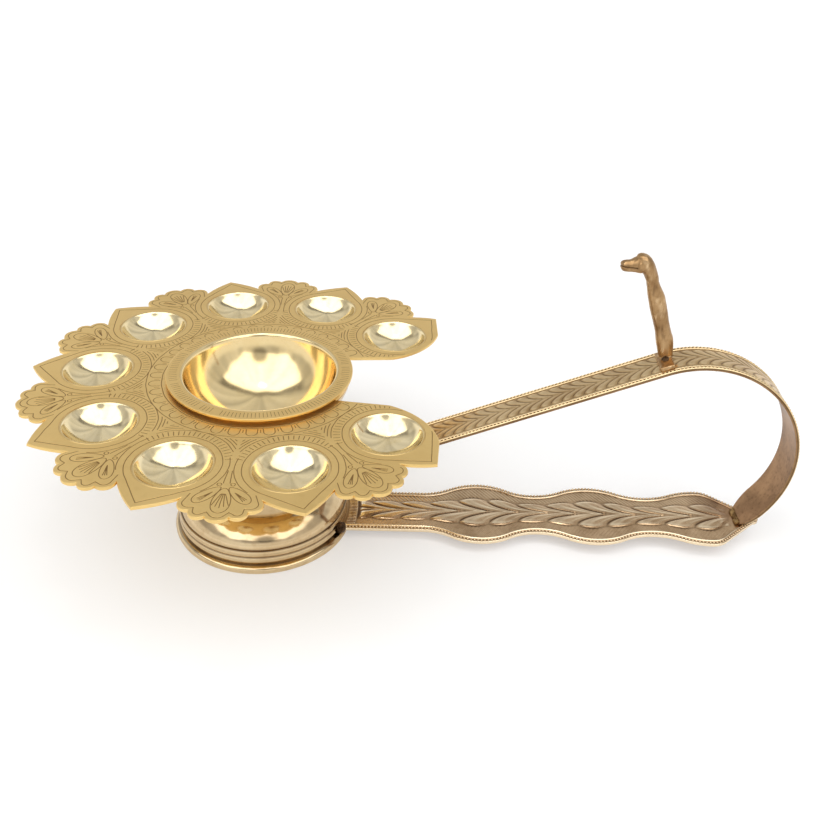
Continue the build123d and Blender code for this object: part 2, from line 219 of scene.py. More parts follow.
# %% White floor
floor_reach, floor_drop, floor_tone, floor_lift = 5000.0, 0.02, 0.6, 0.38
corners = [(x * floor_reach, y * floor_reach, -floor_drop) for x, y in ((-1, -1), (1, -1), (1, 1), (-1, 1))]
floor = mesh_piece("floor", corners, [(0, 1, 2, 3)])
paper, tree = new_material("floor_paper")
matt = add_node(tree, "ShaderNodeBsdfDiffuse", {"Color": (floor_tone, floor_tone, floor_tone, 1)})
lift = product(tree, seen_directly(tree), floor_lift)
glow = add_node(tree, "ShaderNodeEmission", {"Color": (1, 1, 1, 1), "Strength": lift})
both = add_node(tree, "ShaderNodeAddShader", {0: matt.outputs[0], 1: glow.outputs[0]})
add_node(tree, "ShaderNodeOutputMaterial", {"Surface": both.outputs[0]})
floor.data.materials.append(paper)
print("floor", 2 * floor_reach * mm, "m wide")

# %% World and soft box
world = bpy.data.worlds.new("studio")
bpy.context.scene.world = world
world.use_nodes = True
tree = world.node_tree
tree.nodes.clear()
# A slight waver keeps the edges in the room from looking ruled.
ways = add_node(tree, "ShaderNodeTexCoord").outputs["Generated"]
waver = add_node(tree, "ShaderNodeTexNoise", {"Vector": ways, "Scale": 2.5, "Detail": 1.0})
centred = vector_math(tree, "SUBTRACT", waver.outputs["Color"], (0.5, 0.5, 0.5))
bent = vector_math(tree, "MULTIPLY_ADD", centred, (0.16, 0.16, 0.16), ways)
sideways, backwards, upwards = add_node(tree, "ShaderNodeSeparateXYZ", {0: bent}).outputs
# Panel and beam are drawn on a flat ceiling one unit up.
high = add_math(tree, "MAXIMUM", upwards, 0.05)
aside = add_math(tree, "DIVIDE", add_math(tree, "ABSOLUTE", sideways), high)
behind = add_math(tree, "DIVIDE", backwards, high)
panel_gain, beam_bow, horizon_tone = 1.4, 0.14, 0.99
panel = product(tree, add_range(tree, aside, 1.2, 1.5, 1.0, 0.0), add_range(tree, behind, -2.0, -1.7),
                add_range(tree, behind, -0.04, 0.06, 1.0, 0.0), add_range(tree, upwards, 0.05, 0.12))
bowed = add_math(tree, "SUBTRACT", behind, product(tree, aside, aside, beam_bow))
beam = product(tree, add_range(tree, behind, -0.02, 0.06), add_range(tree, bowed, 0.06, 0.2, 1.0, 0.0),
               add_range(tree, aside, 1.2, 1.7, 0.65, 0.0))
# The curtains vary round the room but not upwards, and are darker on the left.
level_ways = vector_math(tree, "NORMALIZE", vector_math(tree, "MULTIPLY", ways, (1, 1, 0)))
curtains = add_node(tree, "ShaderNodeTexNoise", {"Vector": level_ways, "Scale": 2.2, "Detail": 2.0})
walls = product(tree, add_range(tree, curtains.outputs[0], 0.36, 0.64, 0.5, 0.98, "LINEAR"),
                add_range(tree, sideways, -0.98, -0.6, 0.6, 1.0))
horizon = add_range(tree, upwards, 0.2, 0.34, 1.0, 0.0)
to_white = product(tree, horizon, add_math(tree, "SUBTRACT", horizon_tone, walls))
walls = add_math(tree, "ADD", walls, to_white)
to_camera = vector_math(tree, "DOT_PRODUCT", ways, Vector((0.148, -0.85, 0.505)).normalized())
camera_patch = add_range(tree, to_camera, 0.965, 0.993, 1.0, 0.25)
room = add_math(tree, "ADD", walls, product(tree, panel, panel_gain))
room = product(tree, room, product(tree, camera_patch, add_math(tree, "SUBTRACT", 1.0, beam)))
sky = add_node(tree, "ShaderNodeBackground", {"Color": (1, 1, 1, 1), "Strength": room})
add_node(tree, "ShaderNodeOutputWorld", {"Surface": sky.outputs[0]})

box = bpy.data.lights.new("box_above", "AREA")
box.shape = "ELLIPSE"
box.size, box.size_y, box.energy = 160 * mm, 90 * mm, 0.35
box_place, box_aim = Vector((0, -160, 1000)), Vector((20, 0, 60))
lamp = link_object("box_above", box)
lamp.location = box_place * mm
lamp.rotation_euler = (box_aim - box_place).to_track_quat("-Z", "Y").to_euler()

# %% [markdown]
# ## Brass finishes
# All of the metal is one brass, but it is finished in three ways: brushed satin on the tray, a bright turned
# polish on the bowl, cups and stand, and brown cast skin on the handle with the high spots rubbed bright,
# where highlight and shade are also painted into the colour.
# What these finishes share is made once as small node groups: patches of tarnish, drawn marks and pits.


# %% Shared node groups
def shader_group(name, inputs, outputs):
    """Empty shader group with named sockets: (name, kind, value) for inputs, (name, kind) for outputs."""
    group = bpy.data.node_groups.new(name, "ShaderNodeTree")
    for label, kind, value in inputs:
        group.interface.new_socket(name=label, in_out="INPUT", socket_type=kind).default_value = value
    for label, kind in outputs:
        group.interface.new_socket(name=label, in_out="OUTPUT", socket_type=kind)
    return group, group.nodes.new("NodeGroupInput"), group.nodes.new("NodeGroupOutput")


number, tint = "NodeSocketFloat", "NodeSocketColor"

tarnish, given, out = shader_group(
    "Tarnish patches",
    [("Patch Scale", number, 40.0), ("Amount", number, 0.5), ("Bright", tint, (1, 1, 1, 1)),
     ("Brown", tint, (0, 0, 0, 1))],
    [("Color", tint), ("Mask", number)],
)
place = add_node(tarnish, "ShaderNodeTexCoord").outputs["Object"]
broad = add_node(tarnish, "ShaderNodeTexNoise", {"Vector": place, "Scale": given.outputs["Patch Scale"],
                                                "Detail": 6.0, "Roughness": 0.62})
fine_scale = add_math(tarnish, "MULTIPLY", given.outputs["Patch Scale"], 9.0)
fine = add_node(tarnish, "ShaderNodeTexNoise", {"Vector": place, "Scale": fine_scale, "Detail": 4.0})
patches = add_range(tarnish, broad.outputs[0], 0.36, 0.66)
freckles = add_range(tarnish, fine.outputs[0], 0.5, 0.72, 0.0, 0.5)
mask = add_math(tarnish, "MULTIPLY", add_math(tarnish, "ADD", patches, freckles), given.outputs["Amount"])
mask = add_math(tarnish, "MINIMUM", mask, 1.0)
colour = add_mix(tarnish, mask, given.outputs["Bright"], given.outputs["Brown"])
tarnish.links.new(colour, out.inputs["Color"])
tarnish.links.new(mask, out.inputs["Mask"])

drawn_marks, given, out = shader_group(
    "Drawn marks",
    [("Across X", number, 60.0), ("Across Y", number, 2500.0), ("Across Z", number, 2500.0)],
    [("Height", number)],
)
place = add_node(drawn_marks, "ShaderNodeTexCoord").outputs["Object"]
stretch = add_node(drawn_marks, "ShaderNodeCombineXYZ",
                   {0: given.outputs[0], 1: given.outputs[1], 2: given.outputs[2]})
pulled = vector_math(drawn_marks, "MULTIPLY", place, stretch.outputs[0])
lines = add_node(drawn_marks, "ShaderNodeTexNoise", {"Vector": pulled, "Scale": 1.0, "Detail": 3.0})
drawn_marks.links.new(lines.outputs[0], out.inputs["Height"])

cast_pits, given, out = shader_group("Cast pits", [("Pit Scale", number, 900.0)], [("Height", number)])
place = add_node(cast_pits, "ShaderNodeTexCoord").outputs["Object"]
grains = add_node(cast_pits, "ShaderNodeTexNoise", {"Vector": place, "Scale": given.outputs[0], "Detail": 5.0})
holes = add_node(cast_pits, "ShaderNodeTexVoronoi", {"Vector": place, "Scale": given.outputs[0]})
sunk = add_range(cast_pits, holes.outputs["Distance"], 0.0, 0.35)
cast_pits.links.new(add_math(cast_pits, "MULTIPLY", sunk, grains.outputs[0]), out.inputs["Height"])
print("groups:", [group.name for group in bpy.data.node_groups])


# %% Helpers for the brasses
def place_group(tree, group, **values):
    """Group node with inputs given by name, spaces written as underscores."""
    made = add_node(tree, "ShaderNodeGroup", node_tree=group)
    for name, value in values.items():
        made.inputs[name.replace("_", " ")].default_value = value
    return made


def add_bump(tree, shader, height, strength, distance):
    """Bump of a height on the shader, its distance in millimetres."""
    bump = add_node(tree, "ShaderNodeBump", {"Height": height, "Strength": strength, "Distance": distance * mm})
    feed(tree, shader, Normal=bump.outputs[0])


def rgb(red, green, blue):
    """Colour that lets nothing through."""
    return (red, green, blue, 1.0)


def tarnished_metal(name, patch_scale, amount, bright, brown):
    """Metal with patches of tarnish: its material, tree and shader, and the patches' colour and mask."""
    material, tree = new_material(name)
    shader = add_node(tree, "ShaderNodeBsdfPrincipled", {"Metallic": 1.0})
    add_node(tree, "ShaderNodeOutputMaterial", {"Surface": shader.outputs[0]})
    skin = place_group(tree, tarnish, Patch_Scale=patch_scale, Amount=amount, Bright=bright, Brown=brown)
    return material, tree, shader, skin.outputs["Color"], skin.outputs["Mask"]


# %% [markdown]
# The satin brass keeps a warm tone where the chasing tool has gone in: an attribute called "chased" on the
# mesh says how deep each point lies, and the colour and the roughness follow it. On the polished pieces one
# attribute says where a cup's lip runs out into the plate, and another paints shade into the stand's grooves.

# %% Satin brass of the tray
satin_brass, tree, shader, colour, mask = tarnished_metal(
    "tray_satin_brass", 28.0, 0.45, rgb(0.88, 0.625, 0.25), rgb(0.76, 0.52, 0.19))
inked = add_range(tree, attribute(tree, "chased"), 0.0, 0.5, 0.0, 0.88)
marks = place_group(tree, drawn_marks, Across_X=90.0, Across_Y=2600.0, Across_Z=2600.0).outputs[0]
rough = add_range(tree, marks, 0.3, 0.7, 0.34, 0.44, "LINEAR")
feed(tree, shader, Base_Color=add_mix(tree, inked, colour, rgb(0.2, 0.105, 0.03)),
     Roughness=add_math(tree, "ADD", rough, product(tree, inked, 0.2)))
add_bump(tree, shader, marks, 0.35, 0.03)

# %% Polished brass of the cups, bowl and stand
cup_brass, tree, shader, colour, mask = tarnished_metal(
    "cup_polished_brass", 60.0, 0.4, rgb(0.92, 0.78, 0.49), rgb(0.82, 0.63, 0.31))
satin = attribute(tree, "satin")
rough = add_range(tree, mask, 0.0, 0.6, 0.1, 0.18, "LINEAR")
feed(tree, shader, Base_Color=add_mix(tree, satin, colour, rgb(0.74, 0.53, 0.22)),
     Roughness=add_math(tree, "ADD", rough, product(tree, satin, 0.22)))
add_bump(tree, shader, place_group(tree, cast_pits, Pit_Scale=420.0).outputs[0], 0.06, 0.1)

bowl_brass, tree, shader, colour, mask = tarnished_metal(
    "bowl_polished_brass", 45.0, 0.35, rgb(0.91, 0.72, 0.39), rgb(0.83, 0.61, 0.28))
feed(tree, shader, Base_Color=colour, Roughness=add_range(tree, mask, 0.0, 0.6, 0.1, 0.16, "LINEAR"))
rings = place_group(tree, drawn_marks, Across_X=12.0, Across_Y=12.0, Across_Z=1500.0)
add_bump(tree, shader, rings.outputs[0], 0.05, 0.05)

stand_brass, tree, shader, colour, mask = tarnished_metal(
    "stand_polished_brass", 35.0, 0.5, rgb(0.72, 0.56, 0.34), rgb(0.5, 0.34, 0.17))
# Painted shade: the stand's grooves are darkened nearly to black.
colour = add_mix(tree, attribute(tree, "groove_shade"), colour, rgb(0.1, 0.05, 0.022))
feed(tree, shader, Base_Color=colour, Roughness=add_range(tree, mask, 0.0, 0.6, 0.08, 0.14, "LINEAR"))
rings = place_group(tree, drawn_marks, Across_X=12.0, Across_Y=12.0, Across_Z=2200.0)
add_bump(tree, shader, rings.outputs[0], 0.12, 0.05)

# %% [markdown]
# On the cast handle the high spots are rubbed bright and painted lighter as highlight, and the recesses are
# painted dark as shade. The meshes carry one attribute, above zero on high spots and below zero in the grooves,
# and another where the torch has browned the metal, which also paints the strap's inner face dark as shade.


# %% Cast brass of the handle
def cast_brass(name, bright, middle, deep, roughness):
    """Brown cast skin with worn high spots painted bright as highlight, and recesses painted dark as shade."""
    material, tree, shader, colour, mask = tarnished_metal(name, 70.0, 0.8, middle, deep)
    wear_and_painted_light = attribute(tree, "wear_and_painted_light")
    # High spots are worn bright and painted lighter still as highlight; recesses are painted nearly black as shade.
    colour = add_mix(tree, add_range(tree, wear_and_painted_light, 0.0, 0.8), colour, bright)
    colour = add_mix(tree, add_range(tree, wear_and_painted_light, -0.1, -0.9, 0.0, 0.85), colour, rgb(0.07, 0.036, 0.016))
    # Torch-browned tone: real heat tint near the grip's braze, and painted shade on the strap's inner face.
    burnt = add_mix(tree, mask, rgb(0.36, 0.2, 0.1), rgb(0.17, 0.09, 0.045))
    colour = add_mix(tree, attribute(tree, "torch_tint_and_shade"), colour, burnt)
    rough = add_range(tree, wear_and_painted_light, -0.8, 0.8, roughness + 0.14, roughness - 0.08, "LINEAR")
    feed(tree, shader, Base_Color=colour, Roughness=rough)
    add_bump(tree, shader, place_group(tree, cast_pits, Pit_Scale=1100.0).outputs[0], 0.25, 0.12)
    return material


grip_brass = cast_brass(
    "grip_cast_brass", rgb(0.97, 0.81, 0.57), rgb(0.6, 0.42, 0.25), rgb(0.4, 0.26, 0.14), 0.25)
strap_brass = cast_brass(
    "strap_cast_brass", rgb(0.92, 0.73, 0.44), rgb(0.64, 0.45, 0.23), rgb(0.46, 0.29, 0.13), 0.32)
finial_brass = cast_brass(
    "serpent_cast_brass", rgb(0.8, 0.58, 0.34), rgb(0.46, 0.29, 0.14), rgb(0.28, 0.16, 0.07), 0.28)


# %% Braze and solder
def braze_metal(name, bright, brown):
    """Rough burnt metal left by brazing."""
    material, tree, shader, colour, mask = tarnished_metal(name, 220.0, 0.9, bright, brown)
    feed(tree, shader, Base_Color=colour, Roughness=add_range(tree, mask, 0.0, 1.0, 0.42, 0.7, "LINEAR"))
    add_bump(tree, shader, place_group(tree, cast_pits, Pit_Scale=900.0).outputs[0], 0.6, 0.3)
    return material


burnt_braze = braze_metal("braze_burnt_metal", rgb(0.13, 0.075, 0.04), rgb(0.03, 0.018, 0.01))
brown_braze = braze_metal("braze_brown_metal", rgb(0.5, 0.33, 0.14), rgb(0.16, 0.09, 0.035))

solder_metal, tree, shader, colour, mask = tarnished_metal(
    "solder_grey_metal", 160.0, 0.7, rgb(0.42, 0.36, 0.27), rgb(0.2, 0.14, 0.08))
feed(tree, shader, Base_Color=colour, Roughness=add_range(tree, mask, 0.0, 1.0, 0.35, 0.6, "LINEAR"))
print("materials:", [material.name for material in bpy.data.materials if material.use_nodes])

# %% [markdown]
# ## Geometry Nodes helpers
# Chased lines follow strokes, cups repeat on a ring and beads follow an edge, so Geometry Nodes make them.
# Each tree has named inputs. Once a tree has run, the result is kept as a plain mesh and the modifier goes.


# %% Helpers for Geometry Nodes
def geometry_tree(name, inputs):
    """Geometry tree with one mesh in, one mesh out and named inputs: (name, kind)."""
    tree = bpy.data.node_groups.new(name, "GeometryNodeTree")
    tree.interface.new_socket(name="Geometry", in_out="INPUT", socket_type="NodeSocketGeometry")
    for label, kind in inputs:
        tree.interface.new_socket(name=label, in_out="INPUT", socket_type=kind)
    tree.interface.new_socket(name="Geometry", in_out="OUTPUT", socket_type="NodeSocketGeometry")
    return tree, tree.nodes.new("NodeGroupInput"), tree.nodes.new("NodeGroupOutput")


def end_tree(tree, shape, material, out):
    """Ends a tree with plain geometry and its material."""
    real = add_node(tree, "GeometryNodeRealizeInstances", {0: shape})
    dressed = add_node(tree, "GeometryNodeSetMaterial", {"Geometry": real.outputs[0], "Material": material})
    tree.links.new(dressed.outputs[0], out.inputs[0])


def run_tree(piece, tree, **values):
    """Runs a tree on a piece with its inputs set by identifier, and keeps the result as a plain mesh."""
    modifier = piece.modifiers.new(tree.name, "NODES")
    modifier.node_group = tree
    for socket in tree.interface.items_tree:
        key = socket.name.replace(" ", "_")
        if socket.in_out == "INPUT" and key in values:
            modifier[socket.identifier] = values[key]
    keep_shown(piece)
    print(f"{piece.name}: {len(piece.data.vertices)} points after {tree.name}")


# %% Chasing tree: presses the strokes into a flat top
thing, stuff = "NodeSocketObject", "NodeSocketMaterial"
chasing, given, out = geometry_tree(
    "Chased lines", [("Strokes", thing), ("Line Width", number), ("Depth", number), ("Finish", stuff)]
)
drawn = add_node(chasing, "GeometryNodeObjectInfo", {"Object": given.outputs["Strokes"]})
nearest = add_node(chasing, "GeometryNodeProximity", {0: drawn.outputs["Geometry"]}, target_element="EDGES")
half_line = add_math(chasing, "MULTIPLY", given.outputs["Line Width"], 0.5)
mark = add_range(chasing, nearest.outputs["Distance"], 0.0, half_line, 1.0, 0.0)
down = product(chasing, mark, given.outputs["Depth"], -1.0)
push = add_node(chasing, "ShaderNodeCombineXYZ", {"Z": down})
pressed = add_node(chasing, "GeometryNodeSetPosition", {"Geometry": given.outputs[0], "Offset": push.outputs[0]})
noted = add_node(chasing, "GeometryNodeStoreNamedAttribute",
                 {"Geometry": pressed.outputs[0], "Name": "chased", "Value": mark}, domain="POINT")
end_tree(chasing, noted.outputs[0], given.outputs["Finish"], out)

# %% Ring tree: one shape on every point, each turned at random
ringing, given, out = geometry_tree(
    "Shapes on a ring", [("Shape", thing), ("Seed", "NodeSocketInt"), ("Finish", stuff)]
)
shape = add_node(ringing, "GeometryNodeObjectInfo", {"Object": given.outputs["Shape"]})
turn = add_node(ringing, "FunctionNodeRandomValue",
                {"Min": (0, 0, 0), "Max": (0, 0, 2 * pi), "Seed": given.outputs["Seed"]}, data_type="FLOAT_VECTOR")
points = add_node(ringing, "GeometryNodeMeshToPoints", {"Mesh": given.outputs[0]})
copies = add_node(ringing, "GeometryNodeInstanceOnPoints",
                  {"Points": points.outputs[0], "Instance": shape.outputs["Geometry"], "Rotation": turn.outputs[0]})
end_tree(ringing, copies.outputs[0], given.outputs["Finish"], out)

# %% Border tree: beads along an edge, leaning by a twist
bordering, given, out = geometry_tree(
    "Beads along an edge", [("Bead", thing), ("Pitch", number), ("Twist", number), ("Finish", stuff)]
)
bead = add_node(bordering, "GeometryNodeObjectInfo", {"Object": given.outputs["Bead"]})
path = add_node(bordering, "GeometryNodeMeshToCurve", {"Mesh": given.outputs[0]})
spaced = add_node(bordering, "GeometryNodeResampleCurve",
                  {"Curve": path.outputs[0], "Length": given.outputs["Pitch"]}, mode="LENGTH")
along = add_node(bordering, "GeometryNodeInputTangent")
outward = add_node(bordering, "GeometryNodeInputNamedAttribute", {"Name": "outward"}, data_type="FLOAT_VECTOR")
facing = add_node(bordering, "FunctionNodeAlignRotationToVector", {"Vector": along.outputs[0]}, axis="X")
standing = add_node(bordering, "FunctionNodeAlignRotationToVector",
                    {"Rotation": facing.outputs[0], "Vector": outward.outputs[0]}, axis="Z", pivot_axis="X")
lean = add_node(bordering, "FunctionNodeAxisAngleToRotation", {"Axis": (0, 0, 1), "Angle": given.outputs["Twist"]})
leaning = add_node(bordering, "FunctionNodeRotateRotation",
                   {"Rotation": standing.outputs[0], "Rotate By": lean.outputs[0]}, rotation_space="LOCAL")
copies = add_node(bordering, "GeometryNodeInstanceOnPoints",
                  {"Points": spaced.outputs[0], "Instance": bead.outputs["Geometry"], "Rotation": leaning.outputs[0]})
end_tree(bordering, copies.outputs[0], given.outputs["Finish"], out)
print("trees:", chasing.name, ringing.name, bordering.name)

# %% [markdown]
# ## The tray's outline
# The petals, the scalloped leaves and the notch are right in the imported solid, so the outline is read from
# its flat top face. The loop is then shared out evenly between its corners, which keeps every tip sharp.


# %% Outline of the tray
def top_loop(node, height):
    """Longest edge loop of a solid's flat face at a height, in millimetres."""
    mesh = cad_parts[node].data
    mesh.calc_loop_triangles()
    spots = np.array([point.co for point in mesh.vertices]) / mm
    names = [tuple(spot) for spot in np.round(spots, 3).tolist()]
    edges = {}
    for triangle in mesh.loop_triangles:
        corner = [names[index] for index in triangle.vertices]
        if all(abs(spot[2] - height) < 0.002 for spot in corner):
            for pair in zip(corner, corner[1:] + corner[:1]):
                key = frozenset(pair)
                edges[key] = None if key in edges else pair
    following = {pair[0]: pair[1] for pair in edges.values() if pair}
    loops = []
    while following:
        start, spot = following.popitem()
        loop = [start]
        while spot != start:
            loop.append(spot)
            spot = following.pop(spot)
        loops.append(np.array(loop)[:, :2])
    return max(loops, key=lambda loop: np.ptp(loop[:, 0]))


def even_loop(loop, step, corner_angle=20.0):
    """The same loop with even steps between its corners."""
    before, after = loop - np.roll(loop, 1, 0), np.roll(loop, -1, 0) - loop
    cross = before[:, 0] * after[:, 1] - before[:, 1] * after[:, 0]
    bend = np.abs(np.arctan2(cross, (before * after).sum(1)))
    corners = np.flatnonzero(bend > radians(corner_angle))
    spots = []
    for first, last in zip(corners, np.roll(corners, -1)):
        count = (last - first) % len(loop)
        run = loop[[(first + index) % len(loop) for index in range(count + 1)]]
        length = np.concatenate([[0], np.cumsum(np.hypot(*np.diff(run, axis=0).T))])
        places = np.linspace(0, length[-1], max(2, ceil(length[-1] / step)) + 1)[:-1]
        spots.append(np.stack([np.interp(places, length, run[:, axis]) for axis in (0, 1)], 1))
    return np.concatenate(spots)


def inset_loop(loop, inset):
    """A loop that runs counter-clockwise, drawn in by an inset."""
    edge = np.roll(loop, -1, 0) - loop
    edge /= np.hypot(*edge.T)[:, None]
    normal = np.stack([-edge[:, 1], edge[:, 0]], 1)
    middle = normal + np.roll(normal, 1, 0)
    middle /= np.hypot(*middle.T)[:, None]
    spread = np.maximum((middle * normal).sum(1), 0.45)
    return loop + middle * (inset / spread)[:, None]


tray_top, tray_underside = 79.0, 77.6
outline = even_loop(top_loop("tray", tray_top), 0.8)
turned = np.roll(outline, -1, 0)
if (outline[:, 0] * turned[:, 1] - outline[:, 1] * turned[:, 0]).sum() < 0:
    outline = outline[::-1]
print("tray outline:", len(outline), "points, reach", np.round(np.abs(outline).max(0), 1))

# %% [markdown]
# ## Strokes for the chased ornament
# On the real tray a worker taps the lines in one by one: a drop round each cup that runs out to the petal's
# tip, a band of ticks on its inner side, nested arcs between the cups, a palmette on every leaf and a row of
# small U marks round the bowl. Each is written here as a path, with a slight waver, and pressed in later.

# %% Helpers for strokes
stroke_step = 0.8


def line_path(start, end):
    """Straight stroke."""
    count = max(2, ceil(hypot(end[0] - start[0], end[1] - start[1]) / stroke_step) + 1)
    return np.linspace(start, end, count)


def arc_path(centre, radius, first, last):
    """Stroke along a circle, angles in degrees."""
    count = max(3, ceil(abs(radians(last - first)) * radius / stroke_step) + 1)
    return round_points(centre, radius, np.radians(np.linspace(first, last, count)))


def set_out(path, angle, radius=0.0):
    """Moves a stroke out along X by a radius and turns it round the lamp's axis."""
    turn = radians(angle)
    x, y = path[:, 0] + radius, path[:, 1]
    return np.stack([x * cos(turn) - y * sin(turn), x * sin(turn) + y * cos(turn)], 1)


def lobe_path(base, lean, length, half_width):
    """Closed leaf-shaped stroke from a base point, leaning from the X axis."""
    angle = np.linspace(-pi, pi, ceil(2.4 * length / stroke_step))
    along = length * (0.5 + 0.5 * np.cos(angle))
    across = half_width * np.sin(angle) * (0.8 + 0.2 * np.cos(angle))
    turn = radians(lean)
    x = base[0] + along * cos(turn) - across * sin(turn)
    return np.stack([x, base[1] + along * sin(turn) + across * cos(turn)], 1)


def hand_waver(path, amount=0.16):
    """Slight waver of the worker's hand."""
    shift = [noise.noise_vector((0.21 * x, 0.21 * y, 3.0)) for x, y in path]
    return path + amount * np.array(shift)[:, :2]


# %% Strokes round the cups
cup_ring_radius, cup_mouth_radius, cup_turn = 73.0, 15.0, 36.0
cup_angles = [cup_turn * place for place in range(1, 10)]
leaf_angles = [cup_turn * place + cup_turn / 2 for place in range(1, 9)]
drop_radius, tip_place, end_tip_swing = 18.7, 98.9, 2.5
band_radius, side_radius, tick_from, tick_to, tick_turn = 23.2, 21.5, 19.6, 22.3, 5.7
nested_radii, nested_clear, nested_spread = (24.7, 26.0, 27.3), 51.0, 17.4
strokes = []
for angle in cup_angles:
    swing = end_tip_swing * ((angle == cup_angles[0]) - (angle == cup_angles[-1]))
    tip = set_out(np.array([[tip_place, 0.0]]), swing)[0] - (cup_ring_radius, 0)
    reach, aim = hypot(*tip), np.degrees(atan2(tip[1], tip[0]))
    touch = np.degrees(acos(drop_radius / reach))
    round_part = arc_path((0, 0), drop_radius, aim + touch, aim + 360 - touch)
    drop = np.concatenate([line_path(tip, round_part[0])[:-1], round_part, line_path(round_part[-1], tip)[1:]])
    around = [drop, arc_path((0, 0), band_radius, 132, 228)]
    around += [arc_path((0, 0), side_radius, side * 58, side * 122) for side in (-1, 1)]
    for turn in np.arange(120.0, 240.1, tick_turn):
        heading = np.array([cos(radians(turn)), sin(radians(turn))])
        around.append(line_path(tick_from * heading, tick_to * heading))
    for radius in nested_radii:
        for side in (-1, 1):
            arc = arc_path((cup_ring_radius, 0), radius, 180 - side * 6, 180 - side * 72)
            spread = np.abs(np.degrees(np.arctan2(arc[:, 1], arc[:, 0])))
            kept = arc[(np.hypot(*arc.T) > nested_clear) & (spread < nested_spread)]
            if len(kept) > 2:
                around.append(kept - (cup_ring_radius, 0))
    strokes += [set_out(path, angle, cup_ring_radius) for path in around]
print("strokes round the cups:", len(strokes))

# %% Strokes on the leaves and round the bowl
border = inset_loop(outline, 1.9)
leaf_half_angle, leaf_from, lobe_lean = 8.6, 88, 43
mark_low, mark_bend, mark_half = 43.9, 46.4, 2.3
for angle in leaf_angles:
    away = np.abs((np.degrees(np.arctan2(border[:, 1], border[:, 0])) - angle + 180) % 360 - 180)
    inside = np.flatnonzero((away < leaf_half_angle) & (np.hypot(*border.T) > leaf_from))
    breaks = np.flatnonzero(np.diff(inside) > 1)
    if len(breaks):
        inside = np.roll(inside, -(breaks[0] + 1))
    palmette = [lobe_path((83.5, 0), 0, 14.6, 4.3)]
    for side in (-1, 1):
        palmette.append(lobe_path((83.0, side * 1.8), side * lobe_lean, 12.6, 3.2))
        palmette.append(line_path((72.5, side * 0.8), (80.5, side * 1.3)))
        palmette.append(arc_path((81.2, side * 2.6), 0.9, 0, 360))
        for share in (-0.45, 0.0, 0.45):
            lean = radians(side * lobe_lean + share * 16)
            start = np.array([86.0, side * 4.2])
            palmette.append(line_path(start, start + 6.4 * np.array([cos(lean), sin(lean)])))
    for share in (-0.5, -0.25, 0.0, 0.25, 0.5):
        palmette.append(line_path((87.0, 1.6 * share), (95.2 - 3 * abs(share), 6.2 * share)))
    strokes.append(border[inside])
    strokes += [set_out(path, angle) for path in palmette]
for angle in np.arange(31.5, 329.0, 9.0):
    mark = np.concatenate([line_path((mark_low, -mark_half), (mark_bend, -mark_half))[:-1],
                           arc_path((mark_bend, 0), mark_half, -90, 90),
                           line_path((mark_bend, mark_half), (mark_low, mark_half))[1:]])
    strokes.append(set_out(mark, angle))
    strokes.append(set_out(line_path((44.6, 0), (mark_bend, 0)), angle + 4.5))
strokes += [arc_path((0, 0), radius, 24, 336) for radius in (43.2, 49.8)]
stroke_length = sum(np.hypot(*np.diff(path, axis=0).T).sum() for path in strokes)
print("strokes in all:", len(strokes), "length", round(stroke_length), "mm")

# %% [markdown]
# ## The tray's plate
# A flat top with lines pressed into it needs points exactly on the lines. A constrained Delaunay
# triangulation gives that: it is handed the outline, the holes, and three rows of points for each stroke.
# The chasing tree then lowers the points near a stroke and notes how deep each one lies.


# %% Helpers for chased plates
def kept_runs(path, allowed):
    """Splits a stroke into the runs whose points are allowed."""
    fine = allowed(path)
    runs, run = [], []
    for spot, good in zip(path, fine):
        if good:
            run.append(spot)
        elif run:
            runs.append(run)
            run = []
    runs.append(run)
    return [np.array(run) for run in runs if len(run) > 1]


def flat_sheet(loops, paths, holes, width):
    """Triangles of a flat sheet inside the first loop and outside the round holes."""
    spots, ties = [], []
    for loop in loops:
        first = len(spots)
        spots += loop.tolist()
        ties += [(first + index, first + (index + 1) % len(loop)) for index in range(len(loop))]
    for path in paths:
        way = np.gradient(path, axis=0)
        side = np.stack([-way[:, 1], way[:, 0]], 1) / np.maximum(np.hypot(*way.T), 1e-6)[:, None] * width / 2
        for row in (path, path + side, path - side):
            first = len(spots)
            spots += row.tolist()
            ties += [(first + index, first + index + 1) for index in range(len(row) - 1)]
        for end, beyond in ((0, 1), (-1, -2)):
            out = path[end] - path[beyond]
            spots.append((path[end] + out / hypot(*out) * width / 2).tolist())
    found = delaunay_2d_cdt([Vector(spot) for spot in spots], ties, [], 1, 1e-4)
    points = np.array([tuple(spot) for spot in found[0]])
    faces = np.array(found[2])
    middle = points[faces].mean(1)
    keep = np.ones(len(faces), bool)
    for centre, radius in holes:
        keep &= np.hypot(*(middle - centre).T) > radius
    return points, faces[keep]


def circle_loop(centre, radius, count):
    """Points round a circle."""
    return round_points(centre, radius, np.arange(count) * 2 * pi / count)


